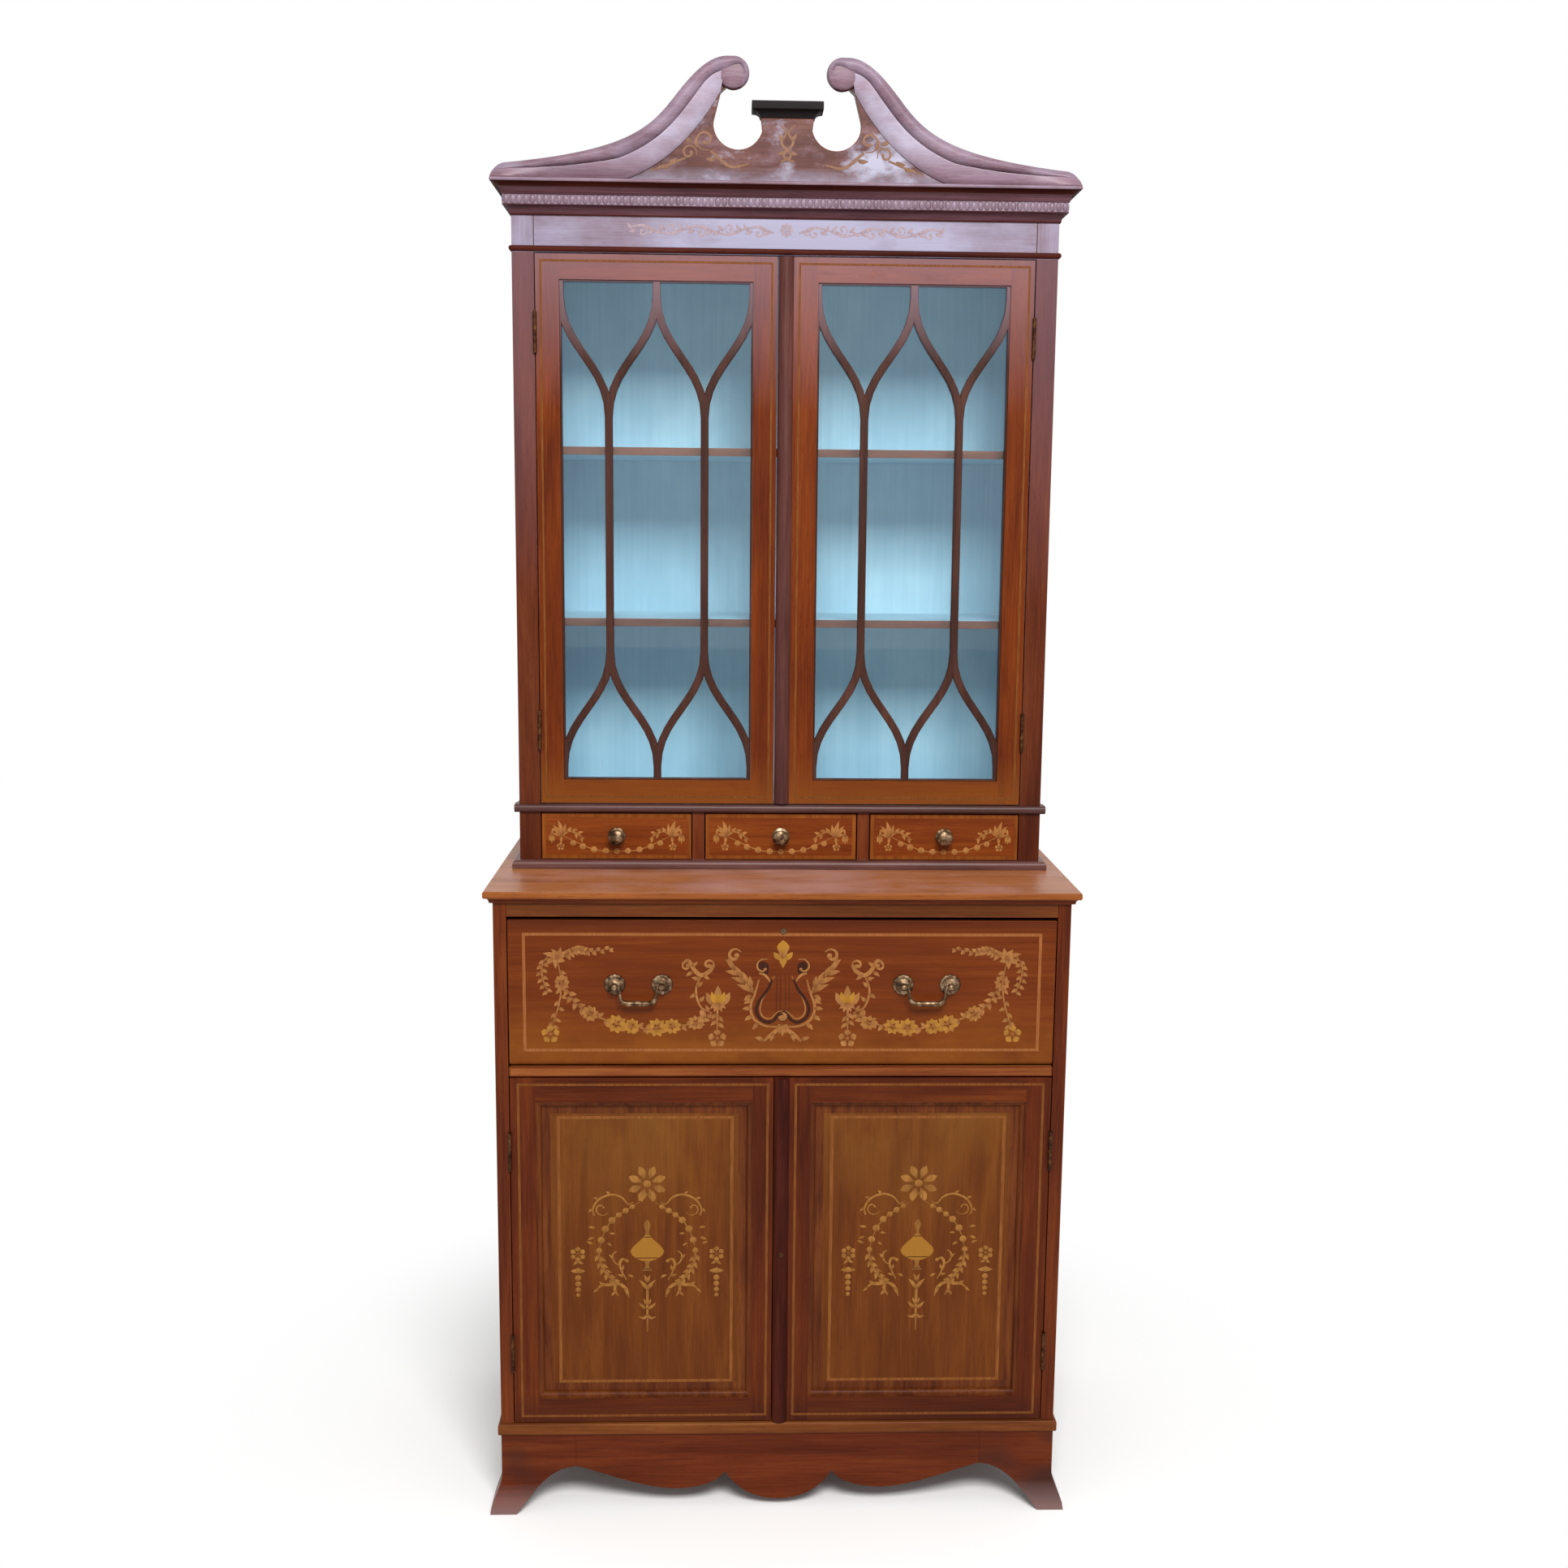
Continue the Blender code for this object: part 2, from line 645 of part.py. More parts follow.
def cornice():
    """The neck moulding below the frieze and the cornice above it."""
    neck = Z_FRIEZE + NECK_LIFT
    profile = [(SEAM, neck)]
    profile += [(out * NECK_PROUD, neck + up * NECK_HEIGHT) for out, up in NECK_STEPS]
    profile.append((SEAM, neck + NECK_HEIGHT))
    surround("neck_moulding", profile, MAHOGANY)
    foot = Z_PEDIMENT - CORNICE_HEIGHT
    profile = [(SEAM, foot)]
    profile += [(out * CORNICE_PROUD, foot + up * CORNICE_HEIGHT) for out, up in CORNICE_STEPS]
    profile.append((SEAM, Z_PEDIMENT))
    profile = [(out, min(z, Z_PEDIMENT - HALF_SEAM)) for out, z in profile]
    surround("cornice", profile, DARK_MAHOGANY)


def swan_line(reveal=0.0):
    """Upper edge of a swan neck, from the corner of the cornice to the top of its scroll."""
    round_end = (UPPER_HALF + CORNICE_PROUD - SWAN_END, Z_PEDIMENT)
    nose = arc(round_end, SWAN_END - reveal, 0, 90, steps=8)
    corner = nose[-1]
    crest = Vector((SCROLL_REACH + SCROLL_RADIUS * SCROLL_CREST, Z_PEDIMENT + SWAN_RISE - reveal))
    waist = corner.lerp(crest, SWAN_WAIST) - Vector((0, SWAN_SAG))
    slope = Vector(SWAN_SLOPE)
    low = bezier(corner, corner + Vector(SWAN_START_RUN), waist - slope * SWAN_SLOPE_BELOW, waist)
    high = bezier(waist, waist + slope, (crest.x + SWAN_CREST_RUN, crest.y), crest)
    return nose + low[1:] + high[1:]


def scroll_centre():
    """Middle of the right scroll, in x and z."""
    return Vector((SCROLL_REACH, Z_PEDIMENT + SWAN_RISE - SCROLL_RADIUS))


def pediment_cap(ledge):
    """The dark cap that flares out from the top of the pedestal."""
    sections = []
    for flare, rise in CAP_STEPS:
        half = PEDESTAL_HALF_WIDTH + flare * (CAP_HALF_WIDTH - PEDESTAL_HALF_WIDTH)
        front = UPPER_FRONT - flare * CAP_PROUD
        back = UPPER_FRONT + PEDIMENT_T + flare * CAP_PROUD
        z = ledge + HALF_SEAM + rise * (CAP_HEIGHT - SEAM)
        sections.append([(-half, front, z), (half, front, z), (half, back, z), (-half, back, z)])
    loft("pediment_cap", sections, EBONISED)


def pediment():
    """The pierced board, the two swan necks planted on it, and the cap of its pedestal."""
    eye = scroll_centre()
    void = Vector((VOID_REACH, Z_PEDIMENT + VOID_HEIGHT))
    throat = eye + SCROLL_RADIUS * Vector(SCROLL_THROAT)
    ledge = Z_PEDIMENT + PEDESTAL_HEIGHT
    behind = arc(eye, SCROLL_RADIUS - BOARD_REVEAL, *SCROLL_DEG)
    hole = arc(void, VOID_RADIUS, *VOID_DEG, steps=20)
    edge = swan_line(BOARD_REVEAL)
    right = [(0, Z_PEDIMENT), *edge[:-1], *behind, throat, *hole]
    right += [(PEDESTAL_HALF_WIDTH, ledge), (0, ledge)]
    depth = (UPPER_FRONT, UPPER_FRONT + PEDIMENT_T)
    outline("pediment_board", [whole(right)], FRONT_PLANE, depth, MAHOGANY)

    scroll = arc(eye, SCROLL_RADIUS, *SCROLL_DEG, steps=20)
    foot = Vector((SCROLL_REACH + NECK_FOOT, Z_PEDIMENT))
    lower = bezier(throat, throat + Vector(NECK_THROAT_RUN), foot + Vector(NECK_FOOT_RUN), foot)
    neck = [*swan_line()[:-1], *scroll, *lower]
    proud = (UPPER_FRONT - SWAN_PROUD, UPPER_FRONT)
    outline("swan_neck_right", [neck], FRONT_PLANE, proud, MAHOGANY)
    outline("swan_neck_left", [mirrored(neck)], FRONT_PLANE, proud, MAHOGANY)

    pediment_cap(ledge)


def hinge(name, edge, face, z, side):
    """A butt hinge: barrel and case leaf, in the gap beside a door's edge."""
    axis = edge - side * DOOR_GAP / 2
    centre_y = face - HINGE_PROUD - HINGE_RADIUS
    bm = bmesh.new()
    radii = {"radius1": HINGE_RADIUS, "radius2": HINGE_RADIUS}
    bmesh.ops.create_cone(bm, cap_ends=True, segments=HINGE_SIDES, depth=HINGE_LENGTH, **radii)
    mesh = bpy.data.meshes.new(name)
    bm.to_mesh(mesh)
    bm.free()
    barrel = add(name, mesh, BRASS, (axis, centre_y, z))
    seat = edge - side * SEAM
    across = sorted((seat + side * HALF_SEAM, seat - side * (LEAF_T + HALF_SEAM)))
    height = (z - HINGE_LENGTH / 2 + SEAM, z + HINGE_LENGTH / 2 - SEAM)
    leaf = board(f"{name}_leaf", across, (centre_y, face + LEAF_DEPTH), height, BRASS)
    combine(barrel, "UNION", as_cutter(leaf))


class DoorOpening:
    """An opening that a pair of doors closes, and how their frames divide it."""

    def __init__(self, name, half_width, face, bottom, height, widths):
        self.name = name
        self.half_width = half_width
        self.face = face
        self.bottom = bottom
        self.top = bottom + height
        self.stile, self.rail, self.meeting = widths

    def sight(self, side):
        """The space inside a door's frame, in x and in z."""
        across = sorted((side * (self.half_width - DOOR_GAP - self.stile), side * self.near_edge()))
        return across, (self.bottom + DOOR_GAP + self.rail, self.top - DOOR_GAP - self.rail)

    def near_edge(self):
        """Edge of the sight nearest the middle of the piece."""
        return BEAD_WIDTH / 2 + self.meeting

    def door(self, side_name, side):
        """A door frame with its rebate, on its own pivot. The right door carries the bead."""
        meeting_line = -BEAD_WIDTH / 2 + (-DOOR_GAP / 2 if side < 0 else DOOR_GAP / 2)
        across = sorted((side * (self.half_width - DOOR_GAP), meeting_line))
        height = (self.bottom + DOOR_GAP, self.top - DOOR_GAP)
        depth = (self.face, self.face + DOOR_T)
        hinge_line = (side * (self.half_width - DOOR_GAP / 2), self.face - HINGE_PROUD - HINGE_RADIUS)
        carrier = pivot(f"{self.name}_door_{side_name}", (*hinge_line, self.bottom))
        name = f"{self.name}_frame_{side_name}"
        frame = board(name, across, depth, height, VENEER, carrier)
        if side > 0:
            combine(frame, "UNION", self.bead(across[0], height))
        sight_x, sight_z = self.sight(side)
        through = (self.face - DOOR_T, self.face + 2 * DOOR_T)
        behind = (self.face + REBATE_DEPTH, self.face + 2 * DOOR_T)
        opening = hollow(f"{name}_sight", sight_x, through, sight_z)
        rebate = hollow(f"{name}_rebate", widened(sight_x), behind, widened(sight_z))
        combine(frame, "DIFFERENCE", opening, rebate)
        for level, z in (
            ("lower", height[0] + HINGE_INSET + HINGE_LENGTH / 2),
            ("upper", height[1] - HINGE_INSET - HINGE_LENGTH / 2),
        ):
            hinge(f"{self.name}_hinge_{side_name}_{level}", side * self.half_width, self.face, z, side)
        return carrier

    def bead(self, edge, height):
        """Half-round bead on the right door's meeting stile, which covers the join."""
        middle = edge + BEAD_WIDTH / 2
        half = BEAD_WIDTH / 2 - SEAM
        radius = (half * half + BEAD_PROUD * BEAD_PROUD) / (2 * BEAD_PROUD)
        sweep = math.degrees(math.asin(half / radius))
        centre = (middle, self.face - BEAD_PROUD + radius)
        front = arc(centre, radius, -90 - sweep, -90 + sweep, steps=8)
        sunk = [(middle + half, self.face + DOOR_T / 2), (middle - half, self.face + DOOR_T / 2)]
        z = (height[0] + SEAM, height[1] - SEAM)
        curve = outline(f"{self.name}_bead", [front + sunk], PLAN_PLANE, z, VENEER)
        return as_cutter(as_mesh(curve))

    def infill(self, side):
        """The cell behind the rebate's step, in x and in z."""
        sight_x, sight_z = self.sight(side)
        return widened(sight_x), widened(sight_z)


def widened(span):
    """A span with the width of a rebate added at each end."""
    return (span[0] - REBATE_WIDTH, span[1] + REBATE_WIDTH)


def as_mesh(curve_object):
    """The welded mesh of a curve, in its place, so that a Boolean can use it."""
    bpy.context.view_layer.update()
    evaluated = curve_object.evaluated_get(bpy.context.evaluated_depsgraph_get())
    mesh = bpy.data.meshes.new_from_object(evaluated)
    bm = bmesh.new()
    bm.from_mesh(mesh)
    bmesh.ops.remove_doubles(bm, verts=bm.verts, dist=0.00001)
    bmesh.ops.recalc_face_normals(bm, faces=bm.faces)
    bm.to_mesh(mesh)
    bm.free()
    name, place = curve_object.name, curve_object.matrix_world.copy()
    bpy.data.objects.remove(curve_object)
    made = bpy.data.objects.new(name, mesh)
    PARTS.objects.link(made)
    made.matrix_world = place
    return made


def clipped(points, limit):
    """Points up to where they cross a distance to the right, which the last one meets."""
    kept = [points[0]]
    for before, after in zip(points, points[1:]):
        if after.x > limit:
            share = (limit - before.x) / (after.x - before.x)
            kept.append(before.lerp(after, share))
            break
        kept.append(after)
    return kept


def ogee_edges(half_width, start, end):
    """Edges of a fork from a bar at x 0 to half_width at its right: below it and above it."""
    rise = (end - start) * OGEE_TENSION
    line = bezier((0, start), (0, start + rise), (half_width, end - rise), (half_width, end), steps=10)
    below, above = [], []
    for i, here in enumerate(line):
        along = line[min(i + 1, len(line) - 1)] - line[max(i - 1, 0)]
        if i in (0, len(line) - 1):
            along = Vector((0, 1))
        right = Vector((along.y, -along.x)).normalized() * BAR_WIDTH / 2
        below.append(here + right)
        above.append(here - right)
    return below, above


def panes(half_width, half_height):
    """Outlines of a glazed door's panes about the middle of its sight."""
    bar = half_width / 2
    rim = half_width - BAR_RIM
    below, above = ogee_edges(bar, half_height - OGEE_START, half_height - OGEE_END)
    top = half_height - BAR_RIM

    def up_and_down(points):
        return points + [Vector((p.x, -p.y)) for p in reversed(points)]

    outer = up_and_down([Vector((bar + p.x, p.y)) for p in clipped(below, rim - bar)])
    lancet = [Vector((bar - p.x, p.y)) for p in clipped(below, bar)]
    lancet = whole([*[Vector((p.x, -p.y)) for p in reversed(lancet)], *lancet])
    start = next(i for i, p in enumerate(above) if p.x > 0)
    share = above[start - 1].x / (above[start - 1].x - above[start].x)
    fork = above[start - 1].lerp(above[start], share)
    arm = [fork, *above[start:], Vector((above[-1].x, top))]
    tulip = [Vector((bar + p.x, p.y)) for p in arm]
    tulip += [Vector((bar - p.x, p.y)) for p in reversed(arm[1:])]
    loops = [outer, mirrored(outer), lancet]
    for loop in (tulip, mirrored(tulip)):
        loops += [loop, [Vector((p.x, -p.y)) for p in loop]]
    return loops


def glazed_doors():
    """The pair of glazed doors: frame, bars and one sheet of glass each."""
    widths = (GLAZED_STILE, GLAZED_RAIL, GLAZED_MEETING)
    opening = DoorOpening("glazed", STILE_INSIDE, UPPER_FRONT, Z_GLAZED, GLAZED_OPENING, widths)
    for side_name, side in (("left", -1), ("right", 1)):
        carrier = opening.door(side_name, side)
        sight_x, sight_z = opening.sight(side)
        middle = Vector((sum(sight_x) / 2, sum(sight_z) / 2))
        half_width = (sight_x[1] - sight_x[0]) / 2
        half_height = (sight_z[1] - sight_z[0]) / 2
        rim = [Vector((u, v)) for u in (-half_width, half_width) for v in (-half_height, half_height)]
        rim = [rim[0], rim[2], rim[3], rim[1]]
        loops = [[p + middle for p in loop] for loop in (rim, *panes(half_width, half_height))]
        depth = (UPPER_FRONT + BAR_SETBACK, UPPER_FRONT + REBATE_DEPTH)
        outline(f"glazing_bars_{side_name}", loops, FRONT_PLANE, depth, DARK_MAHOGANY, carrier)
        glass_x, glass_z = opening.infill(side)
        depth = (UPPER_FRONT + REBATE_DEPTH, UPPER_FRONT + REBATE_DEPTH + GLASS_T)
        board(f"glass_{side_name}", glass_x, depth, glass_z, GLASS, carrier)


def cupboard_doors():
    """The pair of panelled doors below the writing drawer."""
    widths = (CUPBOARD_STILE, CUPBOARD_RAIL, CUPBOARD_MEETING)
    opening = DoorOpening("cupboard", BASE_INSIDE, FRONT, Z_CUPBOARD, CUPBOARD_HEIGHT, widths)
    for side_name, side in (("left", -1), ("right", 1)):
        carrier = opening.door(side_name, side)
        panel_x, panel_z = opening.infill(side)
        depth = (FRONT + REBATE_DEPTH, FRONT + REBATE_DEPTH + PANEL_T)
        board(f"cupboard_panel_{side_name}", panel_x, depth, panel_z, VENEER, carrier)


def small_drawer(side_name, across):
    """One of the three small drawers, with its brass knob."""
    x = (across[0] + DOOR_GAP, across[1] - DOOR_GAP)
    z = (Z_DRAWERS + RUN_GAP, Z_WAIST - DOOR_GAP)
    y = (UPPER_FRONT, UPPER_BACK_FACE - DRAWER_BACK_GAP)
    middle = sum(x) / 2
    carrier = pivot(f"small_drawer_{side_name}_slide", (middle, UPPER_FRONT, z[0]))
    drawer = board(f"small_drawer_{side_name}", x, y, z, MAHOGANY, carrier)
    behind = (UPPER_FRONT + DRAWER_FRONT_T, y[1] - DRAWER_WALL)
    cavity = hollow(
        f"small_drawer_{side_name}_cavity",
        (x[0] + DRAWER_WALL, x[1] - DRAWER_WALL),
        behind,
        (z[0] + DRAWER_FLOOR, z[1] + DRAWER_WALL),
    )
    lowered = hollow(
        f"small_drawer_{side_name}_lowered",
        (x[0] - DRAWER_WALL, x[1] + DRAWER_WALL),
        (behind[0], y[1] + DRAWER_WALL),
        (z[1] - DRAWER_SIDE_DROP, z[1] + DRAWER_WALL),
    )
    combine(drawer, "DIFFERENCE", cavity, lowered)
    profile = [(out * KNOB_RADIUS, along * KNOB_LENGTH) for out, along in KNOB_STEPS]
    profile += [(KNOB_PLATE_RADIUS, KNOB_PLATE_T), (KNOB_PLATE_RADIUS, 0), (0, 0)]
    knob_place = (middle, UPPER_FRONT - HALF_SEAM, (Z_DRAWERS + Z_WAIST) / 2)
    turned(f"small_knob_{side_name}", profile, BRASS, knob_place, carrier)


def small_drawers():
    """The row of three drawers under the glazed doors."""
    near = MIDDLE_DRAWER_WIDTH / 2
    far = near + PARTITION_T
    small_drawer("left", (-STILE_INSIDE, -far))
    small_drawer("middle", (-near, near))
    small_drawer("right", (far, STILE_INSIDE))


def pigeonholes(inside, floor, top):
    """Outlines of the letter slots and pigeonholes of the nest."""
    loops = [[(-inside, floor), (inside, floor), (inside, top), (-inside, top)]]
    shelf = floor + NEST_WALL + NEST_SLOT_HEIGHT
    rows = ((NEST_SLOTS, floor + NEST_WALL, shelf), (NEST_HOLES, shelf + NEST_WALL, top - NEST_WALL))
    for count, low, high in rows:
        pitch = (2 * inside - NEST_WALL) / count
        for i in range(count):
            left = -inside + NEST_WALL + i * pitch
            right = left + pitch - NEST_WALL
            loops.append([(left, low), (right, low), (right, high), (left, high)])
    return loops


def quadrant(side_name, side, inside, carrier):
    """A brass quadrant stay, centred on the fall's hinge line and footed on the fall."""
    axis = Vector((FALL_AXIS.y, FALL_AXIS.z))
    seat = FRONT + FALL_T
    inner_radius = QUADRANT_RADIUS - QUADRANT_WIDTH / 2
    outer_radius = QUADRANT_RADIUS + QUADRANT_WIDTH / 2
    foot_back = seat + QUADRANT_T
    reach = foot_back - axis.x

    def ends_at(radius):
        return math.degrees(math.acos(reach / radius))

    half_foot = QUADRANT_FOOT / 2
    middle = axis.y + QUADRANT_RADIUS
    loop = arc(axis, outer_radius, QUADRANT_TAIL_DEG, ends_at(outer_radius))
    loop += [
        Vector((foot_back, middle + half_foot)),
        Vector((seat, middle + half_foot)),
        Vector((seat, middle - half_foot)),
        Vector((foot_back, middle - half_foot)),
    ]
    loop += arc(axis, inner_radius, ends_at(inner_radius), QUADRANT_TAIL_DEG)
    near = side * (inside - QUADRANT_GAP)
    across = sorted((near, near - side * QUADRANT_T))
    outline(f"quadrant_{side_name}", [loop], SIDE_PLANE, across, BRASS, carrier)


def handle(side_name, side, carrier):
    """A swan-neck drop handle: two turned posts with rosettes and a bail between them."""
    z = Z_FALL + HANDLE_HEIGHT
    pin = POST_LENGTH - POST_HEAD
    profile = [(0, POST_LENGTH), *arc((0, pin), POST_HEAD, 60, -45, steps=5)]
    profile += [
        (POST_NECK, ROSETTE_T + POST_COLLAR),
        (ROSETTE_BOSS, ROSETTE_T),
        (ROSETTE_RADIUS, ROSETTE_RIM),
        (ROSETTE_RADIUS, 0),
        (0, 0),
    ]
    middle = side * HANDLE_REACH
    for end_name, end in (("outer", side), ("inner", -side)):
        place = (middle + end * POST_SPACING / 2, FRONT - HALF_SEAM, z)
        turned(f"handle_post_{side_name}_{end_name}", profile, BRASS, place, carrier)
    swing = pivot(f"bail_{side_name}_swing", (middle, FRONT - HALF_SEAM - pin, z), carrier)
    eye = POST_SPACING / 2 - POST_HEAD - SEAM
    right = [Vector((out * eye, -down * BAIL_DROP)) for out, down in reversed(BAIL_STEPS)]
    path = mirrored(right) + right[1:]
    tube(f"bail_{side_name}", [(p.x, 0, p.y) for p in path], BAIL_RADIUS, BRASS, swing)


def writing_drawer():
    """The writing drawer: tray, nest of pigeonholes, and the fall with its stays and handles."""
    half = BASE_INSIDE - SLIDE_GAP
    inside = half - TRAY_WALL
    front = FRONT + FALL_T + RUN_GAP
    back = BASE_BACK_FACE - TRAY_BACK_GAP
    bottom = Z_FALL + RUN_GAP
    rim = Z_TOP_RAIL - TRAY_DROP
    carrier = pivot("writing_drawer_slide", (0, FRONT, bottom))
    tray = board("writing_tray", (-half, half), (front, back), (bottom, rim), LINING, carrier)
    beyond = TRAY_WALL
    cavity = hollow(
        "writing_tray_cavity",
        (-inside, inside),
        (front - beyond, back - TRAY_WALL),
        (TRAY_FLOOR, rim + beyond),
    )
    combine(tray, "DIFFERENCE", cavity)
    nest_back = back - TRAY_WALL
    holes = pigeonholes(inside, TRAY_FLOOR, rim - NEST_DROP)
    outline("pigeonhole_nest", holes, FRONT_PLANE, (nest_back - NEST_DEPTH, nest_back), LINING, carrier)

    fall_carrier = pivot("fall_hinge", FALL_AXIS, carrier)
    axis = (FALL_AXIS.y, FALL_AXIS.z)
    top = Z_TOP_RAIL - FALL_HEADROOM
    lower_edge = arc(axis, FALL_T / 2, -180, 0, steps=12)
    section = [*lower_edge, (FRONT + FALL_T, top), (FRONT, top)]
    across = (-BASE_INSIDE + DOOR_GAP, BASE_INSIDE - DOOR_GAP)
    outline("fall_front", [section], SIDE_PLANE, across, VENEER, fall_carrier)
    for side_name, side in (("left", -1), ("right", 1)):
        quadrant(side_name, side, inside, fall_carrier)
        handle(side_name, side, fall_carrier)


base_case()
bookcase_case()
cornice()
pediment()
glazed_doors()
cupboard_doors()
small_drawers()
writing_drawer()
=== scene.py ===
"""Looks of an inlaid mahogany secretary bookcase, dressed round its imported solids.

Metres, +Z up, the front faces -Y. Sizes that are written in millimetres are turned to metres by MM.
"""

import logging
from dataclasses import dataclass, field
from enum import Enum
from math import atan2, cos, degrees, pi, radians, sin
from typing import Callable, Optional, Sequence

import bmesh
import bpy
from mathutils import Matrix, Vector


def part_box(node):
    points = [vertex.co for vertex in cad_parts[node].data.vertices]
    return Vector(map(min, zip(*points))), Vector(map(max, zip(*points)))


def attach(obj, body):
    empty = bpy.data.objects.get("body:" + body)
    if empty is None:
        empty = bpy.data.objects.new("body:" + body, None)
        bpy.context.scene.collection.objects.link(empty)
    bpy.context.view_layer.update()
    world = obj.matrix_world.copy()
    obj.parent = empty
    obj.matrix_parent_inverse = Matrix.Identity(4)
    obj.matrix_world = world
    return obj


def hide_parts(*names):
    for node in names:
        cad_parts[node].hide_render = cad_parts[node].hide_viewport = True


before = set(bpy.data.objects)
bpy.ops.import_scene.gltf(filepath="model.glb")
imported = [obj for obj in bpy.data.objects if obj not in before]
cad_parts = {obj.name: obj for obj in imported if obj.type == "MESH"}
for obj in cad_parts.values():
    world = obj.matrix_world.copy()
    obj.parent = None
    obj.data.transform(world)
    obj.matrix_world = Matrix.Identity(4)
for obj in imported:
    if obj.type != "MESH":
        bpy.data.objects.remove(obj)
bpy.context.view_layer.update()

log = logging.getLogger("secretary_bookcase")

MM = 0.001
WELD = 0.01 * MM  # points nearer than this are one
FLAT_DEG, SHARP_DEG = 35, 40  # edges under the first are shaded round, and those over the second are eased
FRIEZE_LAP = 17 * MM  # from a shelf's end to the joint between the frieze and its stile
SIDES = (("left", -1), ("right", 1))
Tree, Socket = bpy.types.NodeTree, bpy.types.NodeSocket
Piece, Material, Edge = bpy.types.Object, bpy.types.Material, bmesh.types.BMEdge
Point = Sequence[float]
Chooser = Callable[[Vector, Vector], int]


def linear(hex_colour: str) -> tuple[float, float, float, float]:
    """Turns an sRGB hex colour to linear light.

    Args:
        hex_colour: Six hex digits after a hash sign.

    Returns:
        Linear red, green and blue, with an alpha of 1.
    """
    shares = [int(hex_colour[i : i + 2], 16) / 255 for i in (1, 3, 5)]
    parts = [s / 12.92 if s <= 0.04045 else ((s + 0.055) / 1.055) ** 2.4 for s in shares]
    return (*parts, 1.0)


def add_node(
    tree: Tree, kind: str, feeds: Optional[dict] = None, stops: Sequence[tuple[float, str]] = (), out: object = 0,
    **settings: object,
) -> Optional[Socket]:
    """Adds a shader node with its settings and links.

    Args:
        tree: Node tree of the material or world.
        kind: Node type without the ShaderNode that every type starts with.
        feeds: What each input takes, by name or number: an output socket or a constant.
        stops: Places and sRGB hex colours of a colour ramp.
        out: Name or number of the output that is wanted.
        **settings: Values of the node's own properties.

    Returns:
        That output, or None where the node is the tree's end.
    """
    node = tree.nodes.new("ShaderNode" + kind)
    for name, value in settings.items():
        setattr(node, name, value)
    for key, value in (feeds or {}).items():
        if isinstance(value, Socket):
            tree.links.new(value, node.inputs[key])
        else:
            node.inputs[key].default_value = value
    for index, (place, colour) in enumerate(stops):
        elements = node.color_ramp.elements
        stop = elements[index] if index < 2 else elements.new(place)
        stop.position = place
        stop.color = linear(colour)
    return node.outputs[out] if node.outputs else None


def bare_tree(owner: bpy.types.ID) -> Tree:
    """Gives a new material or world a node tree without nodes.

    Args:
        owner: The material or world.

    Returns:
        The empty tree.
    """
    owner.use_nodes = True
    owner.node_tree.nodes.clear()
    return owner.node_tree


class Grain(Enum):
    """Way that a board's grain runs, as the turn that lays it along the pattern's Z axis."""

    UP = (0.0, 0.0, 0.0)
    ACROSS = (0.0, -pi / 2, 0.0)
    DEEP = (pi / 2, 0.0, 0.0)


@dataclass(frozen=True)
class Finish:
    """A finish that is wired once for each way of the grain and then shared."""

    name: str
    slot: str

    def material(self, grain: Grain = Grain.UP) -> Material:
        """Gives the finish as a material.

        Args:
            grain: Way that the grain or the brush runs.

        Returns:
            The shared material.
        """
        name = f"{self.name}_{grain.name.lower()}"
        made = bpy.data.materials.get(name)
        if made is None:
            made = bpy.data.materials.new(name)
            tree = bare_tree(made)
            place = add_node(tree, "TexCoord", out="Object")
            along = add_node(tree, "Mapping", {"Vector": place, "Rotation": grain.value})
            add_node(tree, "OutputMaterial", {"Surface": self.wire(tree, along)})
        return made

    def wire(self, tree: Tree, along: Socket) -> Socket:
        """Wires the shader; each finish has its own.

        Args:
            tree: Node tree of the material.
            along: Coordinates with the grain on Z.

        Returns:
            The shader.
        """
        raise NotImplementedError

    def layered(self, tree: Tree, colour: Socket, layers: Sequence[tuple[Socket, str]]) -> Socket:
        """Lays further colours over one.

        Args:
            tree: Node tree of the material.
            colour: Colour of the ground.
            layers: Share and sRGB hex colour of each layer.

        Returns:
            The colour that shows.
        """
        for share, paint in layers:
            feeds = {0: share, 6: colour, 7: linear(paint)}
            colour = add_node(tree, "Mix", feeds, out=2, data_type="RGBA")
        return colour

    def surfaced(self, tree: Tree, feeds: dict, height: Socket, strength: float, depth_mm: float) -> Socket:
        """Wires the surface with a fine relief."""
        relief = add_node(tree, "Bump", {"Strength": strength, "Distance": depth_mm * MM, "Height": height})
        return add_node(tree, "BsdfPrincipled", {**feeds, "Normal": relief})


def speckle(tree: Tree, along: Socket, across_mm: float, stretch: float, **feeds: float) -> Socket:
    """Noise drawn out along the grain.

    Args:
        tree: Node tree of the material.
        along: Coordinates with the grain on Z.
        across_mm: Width of a streak across the grain, in millimetres.
        stretch: Length of a streak in widths.
        **feeds: Detail, roughness and distortion of the noise, in lower case.

    Returns:
        The noise, from 0 to 1.
    """
    rate = 1 / (across_mm * MM)
    scaled = add_node(tree, "Mapping", {"Vector": along, "Scale": (rate, rate, rate / stretch)})
    inputs = {"Vector": scaled, "Scale": 1.0}
    inputs.update({key.capitalize(): value for key, value in feeds.items()})
    return add_node(tree, "TexNoise", inputs, out="Fac")


